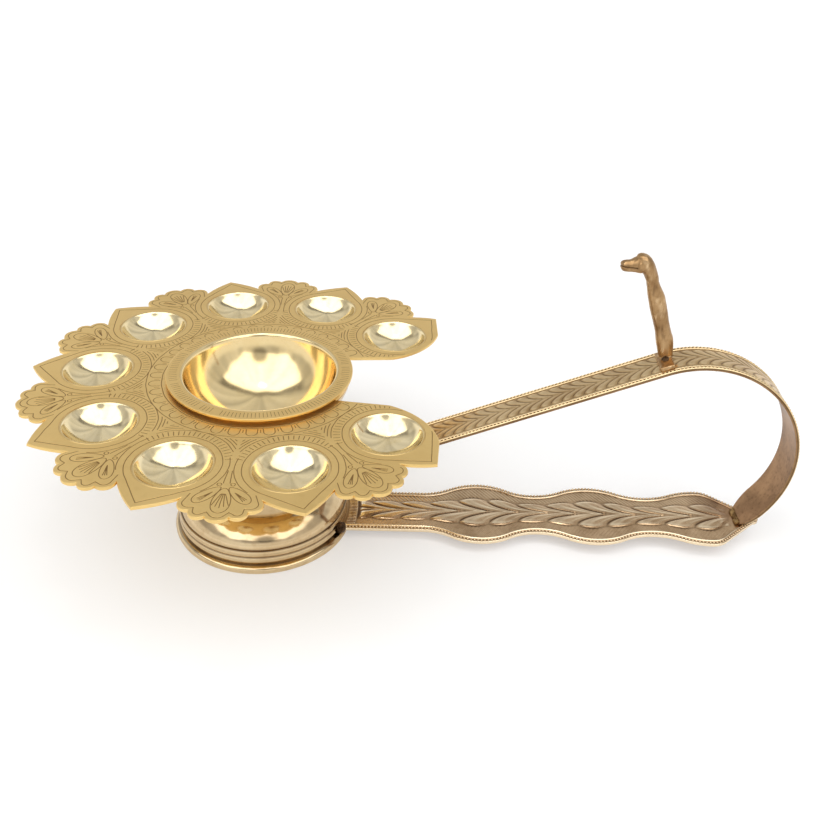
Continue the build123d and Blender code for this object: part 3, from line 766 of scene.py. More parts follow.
def chased_plate(name, rim_rings, holes, hole_steps, paths, top, bottom, width, depth, finish):
    """Plate whose rim is a stack of (loop, height) rings, with round holes and strokes pressed into its top."""
    inner = rim_rings[0][0]
    hole_loops = [circle_loop(centre, radius, hole_steps) for centre, radius in holes]

    def allowed(path):
        away = np.array([np.hypot(*(inner - spot).T).min() for spot in path])
        good = away > 0.35 + width / 2
        for centre, radius in holes:
            good &= np.hypot(*(path - centre).T) > radius + 0.3 + width / 2
        return good

    runs = [run for path in paths for run in kept_runs(hand_waver(path), allowed)]
    points, faces = [], []
    for loop, pressed, height in ((inner, runs, top), (rim_rings[-1][0], [], bottom)):
        spots, triangles = flat_sheet([loop] + hole_loops, pressed, holes, width)
        first = len(points)
        points.extend((x, y, height) for x, y in spots)
        faces.extend(tuple(int(index) + first for index in face) for face in triangles)
    stacks = [rim_rings] + [[(loop, top), (loop, bottom)] for loop in hole_loops]
    for stack in stacks:
        for (upper, high), (lower, low) in zip(stack, stack[1:]):
            first, count = len(points), len(upper)
            points.extend((x, y, high) for x, y in upper)
            points.extend((x, y, low) for x, y in lower)
            for index in range(count):
                after = (index + 1) % count
                faces.append((first + index, first + after, first + count + after, first + count + index))
    plate = mesh_piece(name, points, faces)
    close_seams(plate)
    lines = [(x, y, top) for run in runs for x, y in run]
    drawing = mesh_piece(name + "_strokes", lines, [], chain_edges(runs))
    run_tree(plate, chasing, Strokes=drawing, Line_Width=width * mm, Depth=depth * mm, Finish=finish)
    bpy.data.objects.remove(drawing)
    plate.data.set_sharp_from_angle(angle=radians(10))
    return plate


# %% Plate of the tray
bowl_hole_radius, cup_seat_radius = 37.65, 15.9
cup_places = [set_out(np.array([[cup_ring_radius, 0.0]]), angle)[0] for angle in cup_angles]
holes = [(place, cup_seat_radius) for place in cup_places] + [(np.zeros(2), bowl_hole_radius)]
rim = [(inset_loop(outline, 0.42), tray_top), (inset_loop(outline, 0.13), tray_top - 0.12),
       (outline, tray_top - 0.42), (outline, tray_underside + 0.25), (inset_loop(outline, 0.25), tray_underside)]
plate = chased_plate("tray_plate", rim, holes, 72, strokes, tray_top, tray_underside, 0.56, 0.1, satin_brass)
fasten(plate, "lamp", "tray")

# %% [markdown]
# ## The wick cups
# Each cup is a shallow dish raised from the plate, with a soft lip that catches the light. One cup is turned
# as a profile and given faint dents. The ring tree puts it at the nine places, each turned by its own angle.


# %% Turned pieces
def turned_piece(name, profile, steps, closed=False):
    """Turns a profile of (radius, height) about Z. Points on the axis become poles."""
    points, rings, faces = [], [], []
    angle = np.arange(steps) * 2 * pi / steps
    for radius, height in profile:
        first = len(points)
        if radius < 1e-6:
            points.append((0.0, 0.0, height))
            rings.append([first])
        else:
            points += np.stack([radius * np.cos(angle), radius * np.sin(angle), np.full(steps, height)], 1).tolist()
            rings.append(list(range(first, first + steps)))
    for ring, other in zip(rings, rings[1:] + (rings[:1] if closed else [])):
        for index in range(steps):
            after = (index + 1) % steps
            face = [ring[index % len(ring)], ring[after % len(ring)],
                    other[after % len(other)], other[index % len(other)]]
            faces.append(tuple(dict.fromkeys(face)))
    return mesh_piece(name, points, faces)


def arc_profile(centre, radius, first, last, count):
    """Profile points along a circle, angles in degrees from the radial direction."""
    return round_points(centre, radius, np.radians(np.linspace(first, last, count))).tolist()


def dish_profile(mouth, deep, wall, top, seat, lip, short, counts):
    """Profile of a round dish: up the inside, over a lip of (radius, rise) points and down the outside.
    The inside stops short of the mouth by a height and an angle, to leave room for the lip."""
    radius = (mouth**2 + deep**2) / (2 * deep)
    centre = (0, top - deep + radius)
    mouth_slope = np.degrees(asin((centre[1] - top - short[0]) / radius)) + short[1]
    outer_slope = np.degrees(asin((centre[1] - seat) / (radius + wall)))
    inside = arc_profile(centre, radius, -90, -mouth_slope, counts[0])
    outside = arc_profile(centre, radius + wall, -outer_slope, -90, counts[1])
    rim = [(reach, top + rise) for reach, rise in lip] + [(lip[-1][0], seat)]
    return [(0.0, inside[0][1])] + inside[1:] + rim + outside[:-1] + [(0.0, outside[-1][1])]


def press_dents(piece, scale, amount, seed):
    """Moves the points along their normals by a soft noise, in millimetres, but not below the table."""
    for point in piece.data.vertices:
        point.co += point.normal * amount * mm * noise.noise(point.co / mm * scale + Vector((seed, 0, 0)))
        point.co.z = max(point.co.z, 0.0)


# %% Nine cups
cup_depth, cup_wall = 9.0, 1.3
cup_lip = ((15.0, -0.07), (15.2, 0.03), (15.5, 0.06), (15.8, 0.02), (15.95, -0.3))
profile = dish_profile(cup_mouth_radius, cup_depth, cup_wall, tray_top, tray_underside, cup_lip,
                       (0.35, 2.0), (22, 16))
one_cup = turned_piece("one_cup", profile, 72)
close_seams(one_cup)
press_dents(one_cup, 0.12, 0.22, 5.0)
reach = [hypot(point.co.x, point.co.y) / mm for point in one_cup.data.vertices]
store_values(one_cup, "satin", [min(max(radius / 0.3 - 49.7, 0), 1) for radius in reach])
cups = mesh_piece("tray_cups", [(x, y, 0.0) for x, y in cup_places], [])
run_tree(cups, ringing, Shape=one_cup, Seed=11, Finish=cup_brass)
bpy.data.objects.remove(one_cup)
fasten(cups, "lamp", "tray")

# %% [markdown]
# ## The bowl
# The bowl is a deep polished dish with a flat flange. The dish is turned from a profile. The flange has a
# worn ring of radial ticks, so it is a second plate with strokes pressed into its top.

# %% Dish of the bowl
bowl_mouth, bowl_deep, bowl_wall = 34.0, 27.0, 1.3
flange_radius, flange_hole, flange_seat, flange_top = 41.5, 35.2, 80.7, 82.1
bowl_lip = ((34.05, -0.55), (34.35, -0.2), (34.75, -0.04), (flange_hole, 0.0))
profile = dish_profile(bowl_mouth, bowl_deep, bowl_wall, flange_top, flange_seat, bowl_lip, (0.0, 2.2), (56, 30))
dish = turned_piece("bowl_dish", profile, 160)
close_seams(dish, 40)
press_dents(dish, 0.05, 0.14, 2.0)
fasten(dish, "bowl", "bowl", bowl_brass)

# %% Flange of the bowl
tick_count, tick_wear = 150, -0.32
ticks = []
for index in range(tick_count):
    worn = noise.noise((0.35 * index, 4.0, 0.0))
    if worn > tick_wear:
        ticks.append(set_out(line_path((36.6 + worn, 0), (40.0 + 0.5 * worn, 0)), 2.4 * index))
rim = [(circle_loop((0, 0), flange_radius - inset, 240), height)
       for inset, height in ((0.4, flange_top), (0.12, flange_top - 0.12), (0.0, flange_top - 0.4),
                             (0.0, flange_seat + 0.3), (0.3, flange_seat))]
flange = chased_plate("bowl_flange", rim, [(np.zeros(2), flange_hole)], 240, ticks, flange_top, flange_seat,
                      0.34, 0.05, satin_brass)
fasten(flange, "bowl", "bowl")

# %% [markdown]
# ## The stand
# The stand was turned on a lathe, so one closed profile gives it: foot ring, groove, two beads, a dome that is
# a little flattened, the waist and the long flare. Fine rings left by the tool are in the material, and a
# number on each point says how dark its grooves are painted, as shade.

# %% Pedestal
band, bead_swell, bead_height, band_top = 39.3, 0.6, 3.55, 11.3
waist, dome_radius, dome_edge, wall = 29.0, 10.5, 38.9, 3.2
shoulder, shoulder_low = 40.05, tray_underside - 1.2
dome_centre = dome_edge - dome_radius
waist_height = band_top + sqrt(dome_radius**2 - (waist - dome_centre) ** 2)
flare_radius = ((shoulder - waist) ** 2 + (shoulder_low - waist_height) ** 2) / (2 * (shoulder - waist))
flare_centre = waist + flare_radius
profile = [(36.1, 0.0), (41.0, 0.0)] + arc_profile((39.585, 1.521), 2.218, -42, 79, 16)
profile += [(39.5, 3.72), (39.3, 3.8), (39.3, 4.15)]
bead_bow = ((bead_height / 2) ** 2 + bead_swell**2) / (2 * bead_swell)
reach = np.degrees(asin(bead_height / 2 / bead_bow))
for level in (4.2, 4.2 + bead_height):
    bead_centre = (band + bead_swell - bead_bow, level + bead_height / 2)
    profile += arc_profile(bead_centre, bead_bow, -reach + 2, reach - 2, 13)
dome_to = np.degrees(acos((waist - dome_centre) / dome_radius))
flare_to = 180 - np.degrees(asin((shoulder_low - waist_height) / flare_radius))
dome_rows, flattening = 40, 0.08
dome = np.array(arc_profile((dome_centre, band_top), dome_radius, 0.4, dome_to, dome_rows))
steep = 1 - flattening * np.sin(np.linspace(0, pi, dome_rows)) ** 1.5
dome = np.array([dome_centre, band_top]) + (dome - (dome_centre, band_top)) * steep[:, None]
profile += [(39.05, band_top - 0.02)] + dome.tolist()
profile += arc_profile((flare_centre, waist_height), flare_radius, 180, flare_to, 40)[1:]
profile += [(shoulder, tray_underside - 0.6), (shoulder, tray_underside), (37.5, tray_underside),
            (37.5, flange_seat - 0.2), (37.3, flange_seat - 0.02), (35.9, flange_seat - 0.02),
            (35.7, flange_seat - 0.2)]
bore_top = 180 - np.degrees(acos((flare_centre - 35.7) / (flare_radius + wall)))
profile += arc_profile((flare_centre, waist_height), flare_radius + wall, bore_top, 180, 24)
profile += [(waist - wall, band_top + dome_radius - wall)]
profile += arc_profile((dome_centre, band_top), dome_radius - wall, 90, 0, 16) + [(dome_edge - wall, 0.3)]
stand = turned_piece("stand", profile, 192, closed=True)
close_seams(stand, 35)
press_dents(stand, 0.05, 0.06, 9.0)
grooves = ((4.0, 0.8, 0.95), (7.75, 0.6, 0.8), (11.35, 0.6, 0.9))
# Painted shade: points near the bottom of each groove are darkened, most at its middle.
painted_groove_shade = [max(max(0, 1 - abs(point.co.z / mm - level) / wide) * most for level, wide, most in grooves)
        for point in stand.data.vertices]
store_values(stand, "groove_shade", painted_groove_shade)
fasten(stand, "lamp", "pedestal", stand_brass)

# %% [markdown]
# ## Leaves on the handle
# Both strips of the handle were cast with rows of S-shaped leaves that meet at the middle. A height field
# shapes them: the phase of the leaves is bent towards the edge, and each leaf is a plump blade with a
# rib and fine veins. The same field, less its own blur, tells the material where to paint highlight and shade.


# %% Relief of the leaves
def leaf_relief(along, share, pitch, sweep, veins):
    """Height from 0 to 1 of a row of leaves, share running from the spine (0) to the leaf tips (1)."""
    near = np.clip(share, 0, 1)
    phase = (along + sweep * (1 - (1 - near) ** 2.2)) / pitch
    part = phase - np.floor(phase)
    blade = np.sqrt(np.clip(1 - (2 * part - 1) ** 2, 0, 1)) * (1 - 0.35 * part)
    lines = 0.08 * np.sin(2 * pi * veins * part) * (1 - near)
    reach = np.clip(near / (1 - 0.16 * (2 * part - 1) ** 2), 0, 1)
    tips = np.sqrt(np.clip(1 - reach**2.4, 0, 1))
    return np.clip(blade + lines, 0, 1) * tips * (0.55 + 0.45 * near)


def blurred(field, reach):
    """Mean of a grid of numbers over a square window."""
    for axis in (0, 1):
        padding = [(reach + 1, reach) if index == axis else (0, 0) for index in (0, 1)]
        total = np.cumsum(np.pad(field, padding, mode="edge"), axis)
        count = field.shape[axis]
        ahead = np.take(total, range(2 * reach + 1, 2 * reach + 1 + count), axis)
        field = (ahead - np.take(total, range(count), axis)) / (2 * reach + 1)
    return field


def strip_piece(name, points):
    """Closed strip from a grid of points: rings of points, one after the other, capped at both ends."""
    rings, count = points.shape[:2]
    faces = []
    for ring in range(rings - 1):
        for index in range(count):
            after = (index + 1) % count
            first, second = ring * count, (ring + 1) * count
            faces.append((first + index, second + index, second + after, first + after))
    faces.append(tuple(range(count)))
    faces.append(tuple(range((rings - 1) * count, rings * count))[::-1])
    return mesh_piece(name, points.reshape(-1, 3), faces)


# %% [markdown]
# ## The grip
# The grip is the flat lower strip, with three swellings and a point. Its edge rows keep the same distance
# from the outline, so the lip and the plain ridge follow every swelling, and the field between them carries
# the leaves. The beads of the border come from the border tree.

# %% Shape of the grip
grip_root, grip_top, grip_slope = 39.9, 5.7, radians(1.0)
grip_neck, grip_reach, first_swell, swell_pitch = 14.0, 200.5, 64.0, 55.0
swells = [7.7, 6.8, 5.9]
tail_bend, nose_radius = 10.0, 3.0
tail_centre = np.array([first_swell + 2 * swell_pitch, grip_neck + swells[-1] - tail_bend])
tail_point = np.array([grip_reach - nose_radius, nose_radius])
away = tail_point - tail_centre
turn = atan2(away[1], away[0]) + acos(tail_bend / hypot(*away))
tail_touch = tail_centre + tail_bend * np.array([cos(turn), sin(turn)])


def half_wave(place, low, high, run):
    """Two equal arcs that rise from low to high over a run, level at both ends."""
    half_run, half_rise = run / 2, (high - low) / 2
    bow = (half_run**2 + half_rise**2) / (2 * half_rise)
    if place < half_run:
        return low + bow - sqrt(bow**2 - place**2)
    return high - bow + sqrt(bow**2 - (run - place) ** 2)


def grip_half_width(place):
    """Half the grip's width at a place along it."""
    half_pitch = swell_pitch / 2
    if place > tail_point[0]:
        return sqrt(max(nose_radius**2 - (place - tail_point[0]) ** 2, 0.0))
    if place > tail_touch[0]:
        return float(np.interp(place, (tail_touch[0], tail_point[0]), (tail_touch[1], tail_point[1])))
    if place > tail_centre[0]:
        return tail_centre[1] + sqrt(tail_bend**2 - (place - tail_centre[0]) ** 2)
    for count, swell in enumerate(swells):
        middle = first_swell + count * swell_pitch
        if abs(place - middle) <= half_pitch:
            return half_wave(half_pitch - abs(place - middle), grip_neck, grip_neck + swell, half_pitch)
    return grip_neck


def grip_to_lamp(along, across, height):
    """Points of the grip, drawn flat, at their place on the lamp."""
    x = grip_root + along * cos(grip_slope) - height * sin(grip_slope)
    return np.stack([x, across, grip_top + along * sin(grip_slope) + height * cos(grip_slope)], -1)


def root_shift(place, across):
    """Shift along the grip that lays its root against the round foot and fades out."""
    gap = np.sqrt(grip_root**2 - np.minimum(np.abs(across), grip_root - 1) ** 2) - grip_root + 0.03
    return gap * np.clip(1 - place / 12.0, 0, 1)


# %% Grip
edge_rows = [(0.0, -0.3), (0.1, -0.06), (0.3, 0.0), (0.9, 0.0), (1.45, 0.0), (1.62, 0.1), (1.78, 0.36), (2.0, 0.54),
             (2.25, 0.6), (2.5, 0.54), (2.75, 0.22), (2.95, 0.0)]
nose_gap, nose_run, grip_step = 0.05, 3.5, 0.45
leaf_pitch, leaf_sweep, leaf_height, hatch_pitch, mill_pitch = 14.2, 17.0, 1.6, 1.5, 1.15
nose_places = grip_reach - nose_run * np.linspace(1, 0, 12) ** 2 - nose_gap
places = np.concatenate([np.arange(0.0, grip_reach - nose_run, grip_step), nose_places])
field_rows = np.linspace(1, -1, 80)
grid, heights = [], []
for place in places:
    half = grip_half_width(place)
    fit = min(1.0, half / 4.4)
    edge = np.array([(half - fit * away, fit * rise) for away, rise in edge_rows])
    field = (half - fit * edge_rows[-1][0] - 0.02) * field_rows
    across = np.concatenate([edge[:, 0], field, -edge[::-1, 0]])
    height = np.concatenate([edge[:, 1], np.zeros(len(field)), edge[::-1, 1]])
    aside = np.abs(across)
    zone = min(7.0 + 0.45 * (half - grip_neck), half - 3.4) if half > 4.5 else 0.01
    share = aside / zone
    carved = np.clip((place - 6.0) / 1.5, 0, 1) * np.clip((186.0 - place) / 4.0, 0, 1)
    leaves = leaf_relief(place, share, leaf_pitch, leaf_sweep, 3) * (share < 1)
    hatch = np.cos(2 * pi * (0.8 * place + 0.6 * aside) / hatch_pitch) * (share > 1.04) * (aside < half - 3.2)
    hatch *= np.where(across > 0, 0.11, 0.04)
    spine = np.clip(1 - aside / 0.6, 0, 1) * 0.55
    milled = (0.3 + 0.16 * np.cos(2 * pi * across / mill_pitch)) * (1.2 < place < 5.2) * (aside < half - 2.9)
    grid.append(across)
    heights.append(height + carved * (leaf_height * np.maximum(leaves, spine) + hatch) + milled)
grid, heights = np.array(grid), np.array(heights)
# Colour mask of the grip: raised leaves painted as highlight, the grooves between them painted as shade, the lip edges
# painted bright as highlight.
wear_and_painted_light = np.clip((heights - blurred(heights, 4)) / 0.26, -1, 1)
wear_and_painted_light[:, :3] = wear_and_painted_light[:, -3:] = 0.6
rows = places[:, None]
top = grip_to_lamp(rows + root_shift(rows, grid), grid, heights)
low_share = np.linspace(-1, 1, 7)
at_edge = np.abs(low_share) == 1
half = np.abs(grid).max(1)[:, None]
low_along = rows + root_shift(rows, half * low_share)
low_height = np.where(at_edge, -1.35, -1.7) + 0 * half
low_across = np.where(at_edge, half * low_share, np.clip(half - 0.3, 0.01, None) * low_share / (2 / 3))
low_across = np.clip(low_across, -half, half)
low = grip_to_lamp(low_along, low_across, low_height)
grip = strip_piece("grip_strip", np.concatenate([top, low], 1))
# The underside is painted darker as shade, and its two edges bright as highlight.
store_values(grip, "wear_and_painted_light", np.concatenate([wear_and_painted_light, np.where(at_edge, 0.6, -0.25) + 0 * half], 1))
torch_tint_and_shade = np.clip((rows - 168) / 14, 0, 1) * np.clip((grid + 6) / 8, 0, 1) * 0.8
store_values(grip, "torch_tint_and_shade", np.concatenate([torch_tint_and_shade, np.zeros(low_across.shape)], 1))
close_seams(grip, 60)
fasten(grip, "lamp", "grip", grip_brass)


# %% Beads of the grip's border
def bead_shape(name, along, across, height):
    """Low bead of a few dozen faces, its size in millimetres, its top worn and painted bright as highlight and its
    lower half painted dark as shade.
    """
    shell = bmesh.new()
    bmesh.ops.create_uvsphere(shell, u_segments=8, v_segments=5, radius=1.0)
    bead = link_object(name, bpy.data.meshes.new(name))
    shell.to_mesh(bead.data)
    shell.free()
    bead.data.shade_smooth()
    # Painted highlight on the bead's top and painted shade on its lower half.
    store_values(bead, "wear_and_painted_light", [point.co.z * 1.4 - 0.72 for point in bead.data.vertices])
    for point in bead.data.vertices:
        point.co = Vector((point.co.x * along, point.co.y * across, point.co.z * height)) * mm
    return bead


def border_piece(name, paths, outwards, bead, pitch, twist, finish):
    """Beads along several paths, with the direction that each point of a path faces."""
    points = [tuple(spot) for path in paths for spot in path]
    border = mesh_piece(name, points, [], chain_edges(paths))
    facing = border.data.attributes.new("outward", "FLOAT_VECTOR", "POINT")
    facing.data.foreach_set("vector", np.ravel(np.concatenate(outwards)))
    run_tree(border, bordering, Bead=bead, Pitch=pitch * mm, Twist=radians(twist), Finish=finish)
    bpy.data.objects.remove(bead)
    return border


kept = places[(places > 0.6) & (places < 199.2)]
half = np.array([grip_half_width(place) for place in kept])
paths = []
for side in (-1, 1):
    across = side * (half - np.minimum(0.8, 0.35 * half))
    paths.append(grip_to_lamp(kept + root_shift(kept, across), across, np.full(len(kept), 0.1)))
upright = [np.tile((-sin(grip_slope), 0.0, cos(grip_slope)), (len(path), 1)) for path in paths]
beads = border_piece("grip_beads", paths, upright, bead_shape("grip_bead", 0.7, 0.72, 0.72), 1.62, 0.0, grip_brass)
fasten(beads, "lamp", "grip")

# %% [markdown]
# ## The strap
# The strap leaves the stand's waist, rises straight, curls over and comes down on the grip. It is the same
# kind of strip as the grip, but its rings follow the bent side view, and only its outer face is carved.

# %% Side view of the strap
strap_half, strap_face, strap_rise, strap_fall = 9.85, 0.75, radians(22.5), radians(-127.0)
strap_root = np.array([29.0, 30.0])
curl_radius, curl_start_x = 47.8, 181.5
rise_way, fall_way = (np.array([cos(turn), sin(turn)]) for turn in (strap_rise, strap_fall))
rise_run = (curl_start_x - strap_root[0]) / rise_way[0]
curl_start = strap_root + rise_way * rise_run
curl_centre = curl_start - curl_radius * np.array([-sin(strap_rise), cos(strap_rise)])
curl_run = curl_radius * (strap_rise - strap_fall)
curl_end = curl_centre + curl_radius * np.array([-sin(strap_fall), cos(strap_fall)])
grip_up = np.array([-sin(grip_slope), cos(grip_slope)])


def strap_at(run):
    """Point of the strap's middle line and its outward direction, after a run from the root."""
    turn = strap_rise - min(max(run - rise_run, 0), curl_run) / curl_radius
    outward = np.array([-sin(turn), cos(turn)])
    if run < rise_run:
        return strap_root + rise_way * run, outward
    if run < rise_run + curl_run:
        return curl_centre + curl_radius * outward, outward
    return curl_end + (run - rise_run - curl_run) * fall_way, outward


def strap_line(runs):
    """Points of the middle line and outward directions at several runs."""
    return (np.array(part) for part in zip(*(strap_at(run) for run in runs)))


def run_to_grip(spots):
    """How far points have to go on down the heel to meet the grip's top."""
    return (spots - (grip_root, grip_top)) @ grip_up / -(fall_way @ grip_up)


whole_run = rise_run + curl_run + run_to_grip(curl_end)
print("strap runs", round(whole_run, 1), "mm, curl ends at", np.round(curl_end, 1))

# %% Strap
edge_rows = [(0.0, 0.35), (0.06, 0.72), (0.2, 0.95), (0.36, 0.98), (0.5, 0.8), (0.95, 0.72), (1.42, 0.8), (1.55, 0.95),
             (1.8, 1.12), (2.05, 1.12), (2.25, 0.95), (2.4, 0.75)]
leaf_zone, leaf_pitch, leaf_sweep, leaf_height = 6.8, 5.2, 8.0, 0.58
edge = np.array(edge_rows)
field = (strap_half - edge_rows[-1][0] - 0.02) * np.linspace(1, -1, 46)
across = np.concatenate([strap_half - edge[:, 0], field, -(strap_half - edge[::-1, 0])])
base = np.concatenate([edge[:, 1], np.full(len(field), strap_face), edge[::-1, 1]])
runs = np.concatenate([np.arange(-2.5, whole_run, 0.5), [whole_run]])
share = np.abs(across)[None, :] / leaf_zone
leaves = leaf_relief(runs[:, None], share, leaf_pitch, leaf_sweep, 2)
spine = np.clip(1 - np.abs(across)[None, :] / 0.45, 0, 1) * 0.5
heights = base + leaf_height * np.maximum(leaves, spine) * (share < 1)
# Colour mask of the strap: raised leaves painted as highlight, grooves painted as shade.
wear_and_painted_light = np.clip((heights - blurred(heights, 3)) / 0.16, -1, 1)
under_across = np.linspace(-strap_half + 0.25, strap_half - 0.25, 13)
middle, outward = strap_line(runs)
heel_cut = np.clip((runs[:, None] - whole_run + 6.0) / 6.0, 0, 1)


def heel_share(runs):
    """Part of the strap's full width that is left as it narrows to its heel."""
    taper, narrowing = 13.0, strap_half - 5.5
    bow = (taper**2 + narrowing**2) / (2 * narrowing)
    past = np.clip(runs - (whole_run - taper), 0, taper)
    return 1 - (bow - np.sqrt(bow**2 - past**2)) / strap_half


def strap_points(across, heights):
    """Points of the strap at distances across it and heights over its middle line, cut level at the heel."""
    spots = middle[:, None, :] + outward[:, None, :] * heights[:, :, None]
    spots = spots + heel_cut[:, :, None] * run_to_grip(spots[-1:])[:, :, None] * fall_way
    return np.stack([spots[:, :, 0], heel_share(runs)[:, None] * across, spots[:, :, 1]], -1)


outer = strap_points(across, heights)
inner = strap_points(under_across, np.full((len(runs), len(under_across)), -strap_face))
strap = strip_piece("strap_strip", np.concatenate([outer, inner], 1))
# The strap's inner face gets a low value, so it is painted a little darker as shade.
store_values(strap, "wear_and_painted_light", np.concatenate([wear_and_painted_light, np.full(inner.shape[:2], -0.2)], 1))
# The strap's whole inner face is painted dark brown as shade.
store_values(strap, "torch_tint_and_shade", np.concatenate([0 * wear_and_painted_light, np.full(inner.shape[:2], 0.9)], 1))
close_seams(strap, 60)
fasten(strap, "lamp", "strap", strap_brass)

# %% Rope beads of the strap's borders
rope_lift, rope_inset, rope_pitch, rope_lean = 0.77, 0.95, 1.7, 38
rope_runs = np.arange(0.5, whole_run - 1.5, 1.0)
middle, outward = strap_line(rope_runs)
lifted = middle + outward * rope_lift
facing = np.stack([outward[:, 0], np.zeros(len(outward)), outward[:, 1]], 1)
for side, name in ((-1, "strap_rope_front"), (1, "strap_rope_back")):
    path = np.stack([lifted[:, 0], side * (strap_half - rope_inset) * heel_share(rope_runs), lifted[:, 1]], 1)
    bead = bead_shape("rope_bead", 0.95, 0.55, 0.55)
    rope = border_piece(name, [path], [facing], bead, rope_pitch, side * -rope_lean, strap_brass)
    fasten(rope, "lamp", "strap")

# %% [markdown]
# ## The serpent
# The thumb rest is a small cast serpent. Its body and head are lofted from rings and joined by a voxel remesh,
# which melts them into one skin as casting does. The mouth, the eyes and soft lumps are pressed in afterwards.

# %% Helper for melted skins
def melt(piece, voxel, rounds=0):
    """Melts a piece into one skin of small voxels, their size in millimetres, and smooths it."""
    remesh = piece.modifiers.new("remesh", "REMESH")
    remesh.mode, remesh.voxel_size = "VOXEL", voxel * mm
    if rounds:
        smooth = piece.modifiers.new("smooth", "SMOOTH")
        smooth.factor, smooth.iterations = 0.5, rounds
    keep_shown(piece)


# %% Serpent
finial_heading, serpent_y = radians(19.5), 2.0
x_way, y_way, z_way = np.eye(3)
slope = np.array([cos(finial_heading), 0.0, sin(finial_heading)])
up = np.array([-sin(finial_heading), 0.0, cos(finial_heading)])
base = np.array([curl_centre[0], 0.0, curl_centre[1]]) + up * (curl_radius + strap_face)


def ring_loft(name, rings):
    """Closed skin over rings of (centre, side direction, up direction, half width, half height)."""
    angle = np.arange(28) * 2 * pi / 28
    points = [centre + side * wide * np.cos(angle)[:, None] + up * tall * np.sin(angle)[:, None]
              for centre, side, up, wide, tall in rings]
    return strip_piece(name, np.array(points))


# Rings of the body: height, place along X, half width and half depth.
stem = [(90.5, 182.6, 2.9, 3.0), (93.8, 182.5, 2.95, 3.0), (96.8, 182.2, 3.2, 3.1), (99.3, 181.6, 3.6, 3.1),
        (102.7, 181.0, 3.9, 3.2), (106.1, 180.3, 4.0, 3.2), (109.0, 179.3, 3.7, 3.1), (111.0, 178.6, 3.6, 3.0),
        (115.1, 177.2, 3.8, 3.0), (119.2, 175.9, 3.95, 3.1), (123.2, 174.7, 4.0, 3.2), (126.4, 173.7, 3.95, 3.2),
        (128.8, 172.8, 3.55, 3.0), (131.2, 171.8, 3.1, 2.8), (133.2, 171.0, 2.85, 2.8), (135.5, 170.2, 3.2, 2.9),
        (137.5, 169.1, 3.6, 3.3), (139.0, 168.5, 3.6, 3.6), (140.5, 167.8, 3.6, 3.8), (141.7, 167.2, 3.65, 3.8),
        (142.8, 166.6, 3.5, 3.6), (144.0, 166.0, 3.2, 3.2), (145.1, 165.4, 2.5, 2.4), (145.8, 165.4, 1.2, 1.2)]
serpent = ring_loft("serpent_body", [(np.array([middle_x, serpent_y, height]), x_way, y_way, wide, deep)
                                     for height, middle_x, wide, deep in stem])
# Rings of the head: distance from the neck, half width, half height and lift.
neck = np.array([168.5, serpent_y, 140.0])
look, crown = -x_way, z_way
head_rings = [(0.4, 2.0, 2.4, 1.0), (1.1, 3.4, 3.9, 1.2), (3.3, 3.7, 4.5, 1.2), (4.7, 3.5, 4.05, 0.9),
              (5.8, 3.1, 3.55, 0.6), (6.8, 2.9, 3.2, 0.3), (7.8, 2.75, 2.9, 0.0), (8.9, 2.7, 2.75, -0.1),
              (10.0, 2.7, 2.7, -0.1), (10.9, 2.55, 2.5, -0.1), (11.7, 2.1, 2.0, 0.0), (12.2, 1.3, 1.2, 0.1),
              (12.4, 0.6, 0.55, 0.1)]
head = ring_loft("serpent_head", [(neck + look * away + crown * lift, y_way, crown, wide, tall)
                                  for away, wide, tall, lift in head_rings])
pad_points = [(x, y, z) for z in (-0.75, 2.4) for x, y in ((-4.9, -8.3), (1.5, -8.3), (1.5, 6), (-4.9, 6))]
pad_points = [base + slope * x + y_way * y + up * z for x, y, z in pad_points]
pad_faces = [(3, 2, 1, 0), (4, 5, 6, 7), (0, 1, 5, 4), (1, 2, 6, 5), (2, 3, 7, 6), (3, 0, 4, 7)]
pad = mesh_piece("serpent_pad", pad_points, pad_faces)
for other in (head, pad):
    shell = bmesh.new()
    shell.from_mesh(serpent.data)
    shell.from_mesh(other.data)
    shell.to_mesh(serpent.data)
    shell.free()
    bpy.data.objects.remove(other)
close_seams(serpent)
melt(serpent, 0.3, 6)
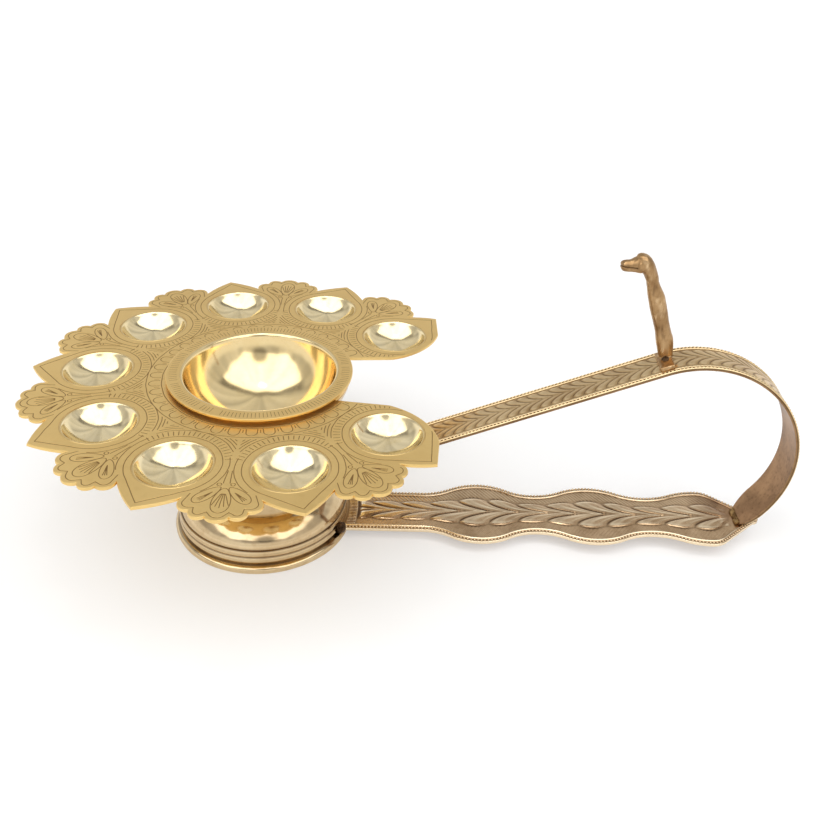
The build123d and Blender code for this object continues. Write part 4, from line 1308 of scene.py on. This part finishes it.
serpent.name = "serpent"
values = []
for point in serpent.data.vertices:
    spot = np.array(point.co) / mm - neck
    ahead, aside, above = spot @ look, spot @ y_way, spot @ crown
    cut = 0.0
    if 5.4 < ahead < 12.8:
        cut = max(0.0, 1 - abs(above + 0.2 - 0.04 * (ahead - 5)) / 0.5)
    eye = hypot(hypot(ahead - 4.4, above - 1.6), abs(aside) - 3.3)
    bulge = max(0.0, 1 - eye / 1.2)
    long_spot = Vector((spot[0], spot[1], 0.35 * spot[2]))
    lumps = noise.noise(long_spot * 0.45) + 0.5 * noise.noise(long_spot * 1.1)
    point.co += point.normal * mm * (0.4 * bulge - 0.55 * cut + 0.14 * lumps)
    # The colour mask paints the eyes and the tops of the lumps lighter as highlight, and the mouth line dark as shade.
    values.append(0.35 * bulge - 0.95 * cut + 0.55 * lumps)
store_values(serpent, "wear_and_painted_light", values)
serpent.data.shade_smooth()
close_seams(serpent)
fasten(serpent, "lamp", "finial", finial_brass)

# %% [markdown]
# ## Braze and solder
# The joints were brazed by hand and never cleaned, so each is a dark rough lump. The solids already have the
# right places. Where a lump shows, its copy is merged, divided and roughened; the rest keep their shape.


# %% Braze lumps
def rough_lump(node, name, amount, finish, shift=(0, 0, 0)):
    """Rough copy of a solid: merged, melted into fine voxels, dented and moved by a shift in millimetres."""
    lump = link_object(name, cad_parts[node].data.copy())
    close_seams(lump)
    melt(lump, 0.22)
    press_dents(lump, 0.9, amount, 1.0)
    lump.data.transform(Matrix.Translation(Vector(shift) * mm))
    lump.data.shade_smooth()
    close_seams(lump)
    fasten(lump, "lamp", node, finish)


rough_lump("grip_braze", "grip_braze_lumps", 0.5, burnt_braze)
rough_lump("strap_heel_braze", "strap_heel_lumps", 0.6, brown_braze)
rough_lump("finial_braze", "serpent_foot_lump", 0.3, burnt_braze, (-1.6, 0.4, -0.9))
rough_lump("strap_root_braze", "strap_root_lump", 0.3, brown_braze)
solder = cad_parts["tray_solder"]
solder.data.materials.clear()
solder.data.materials.append(solder_metal)
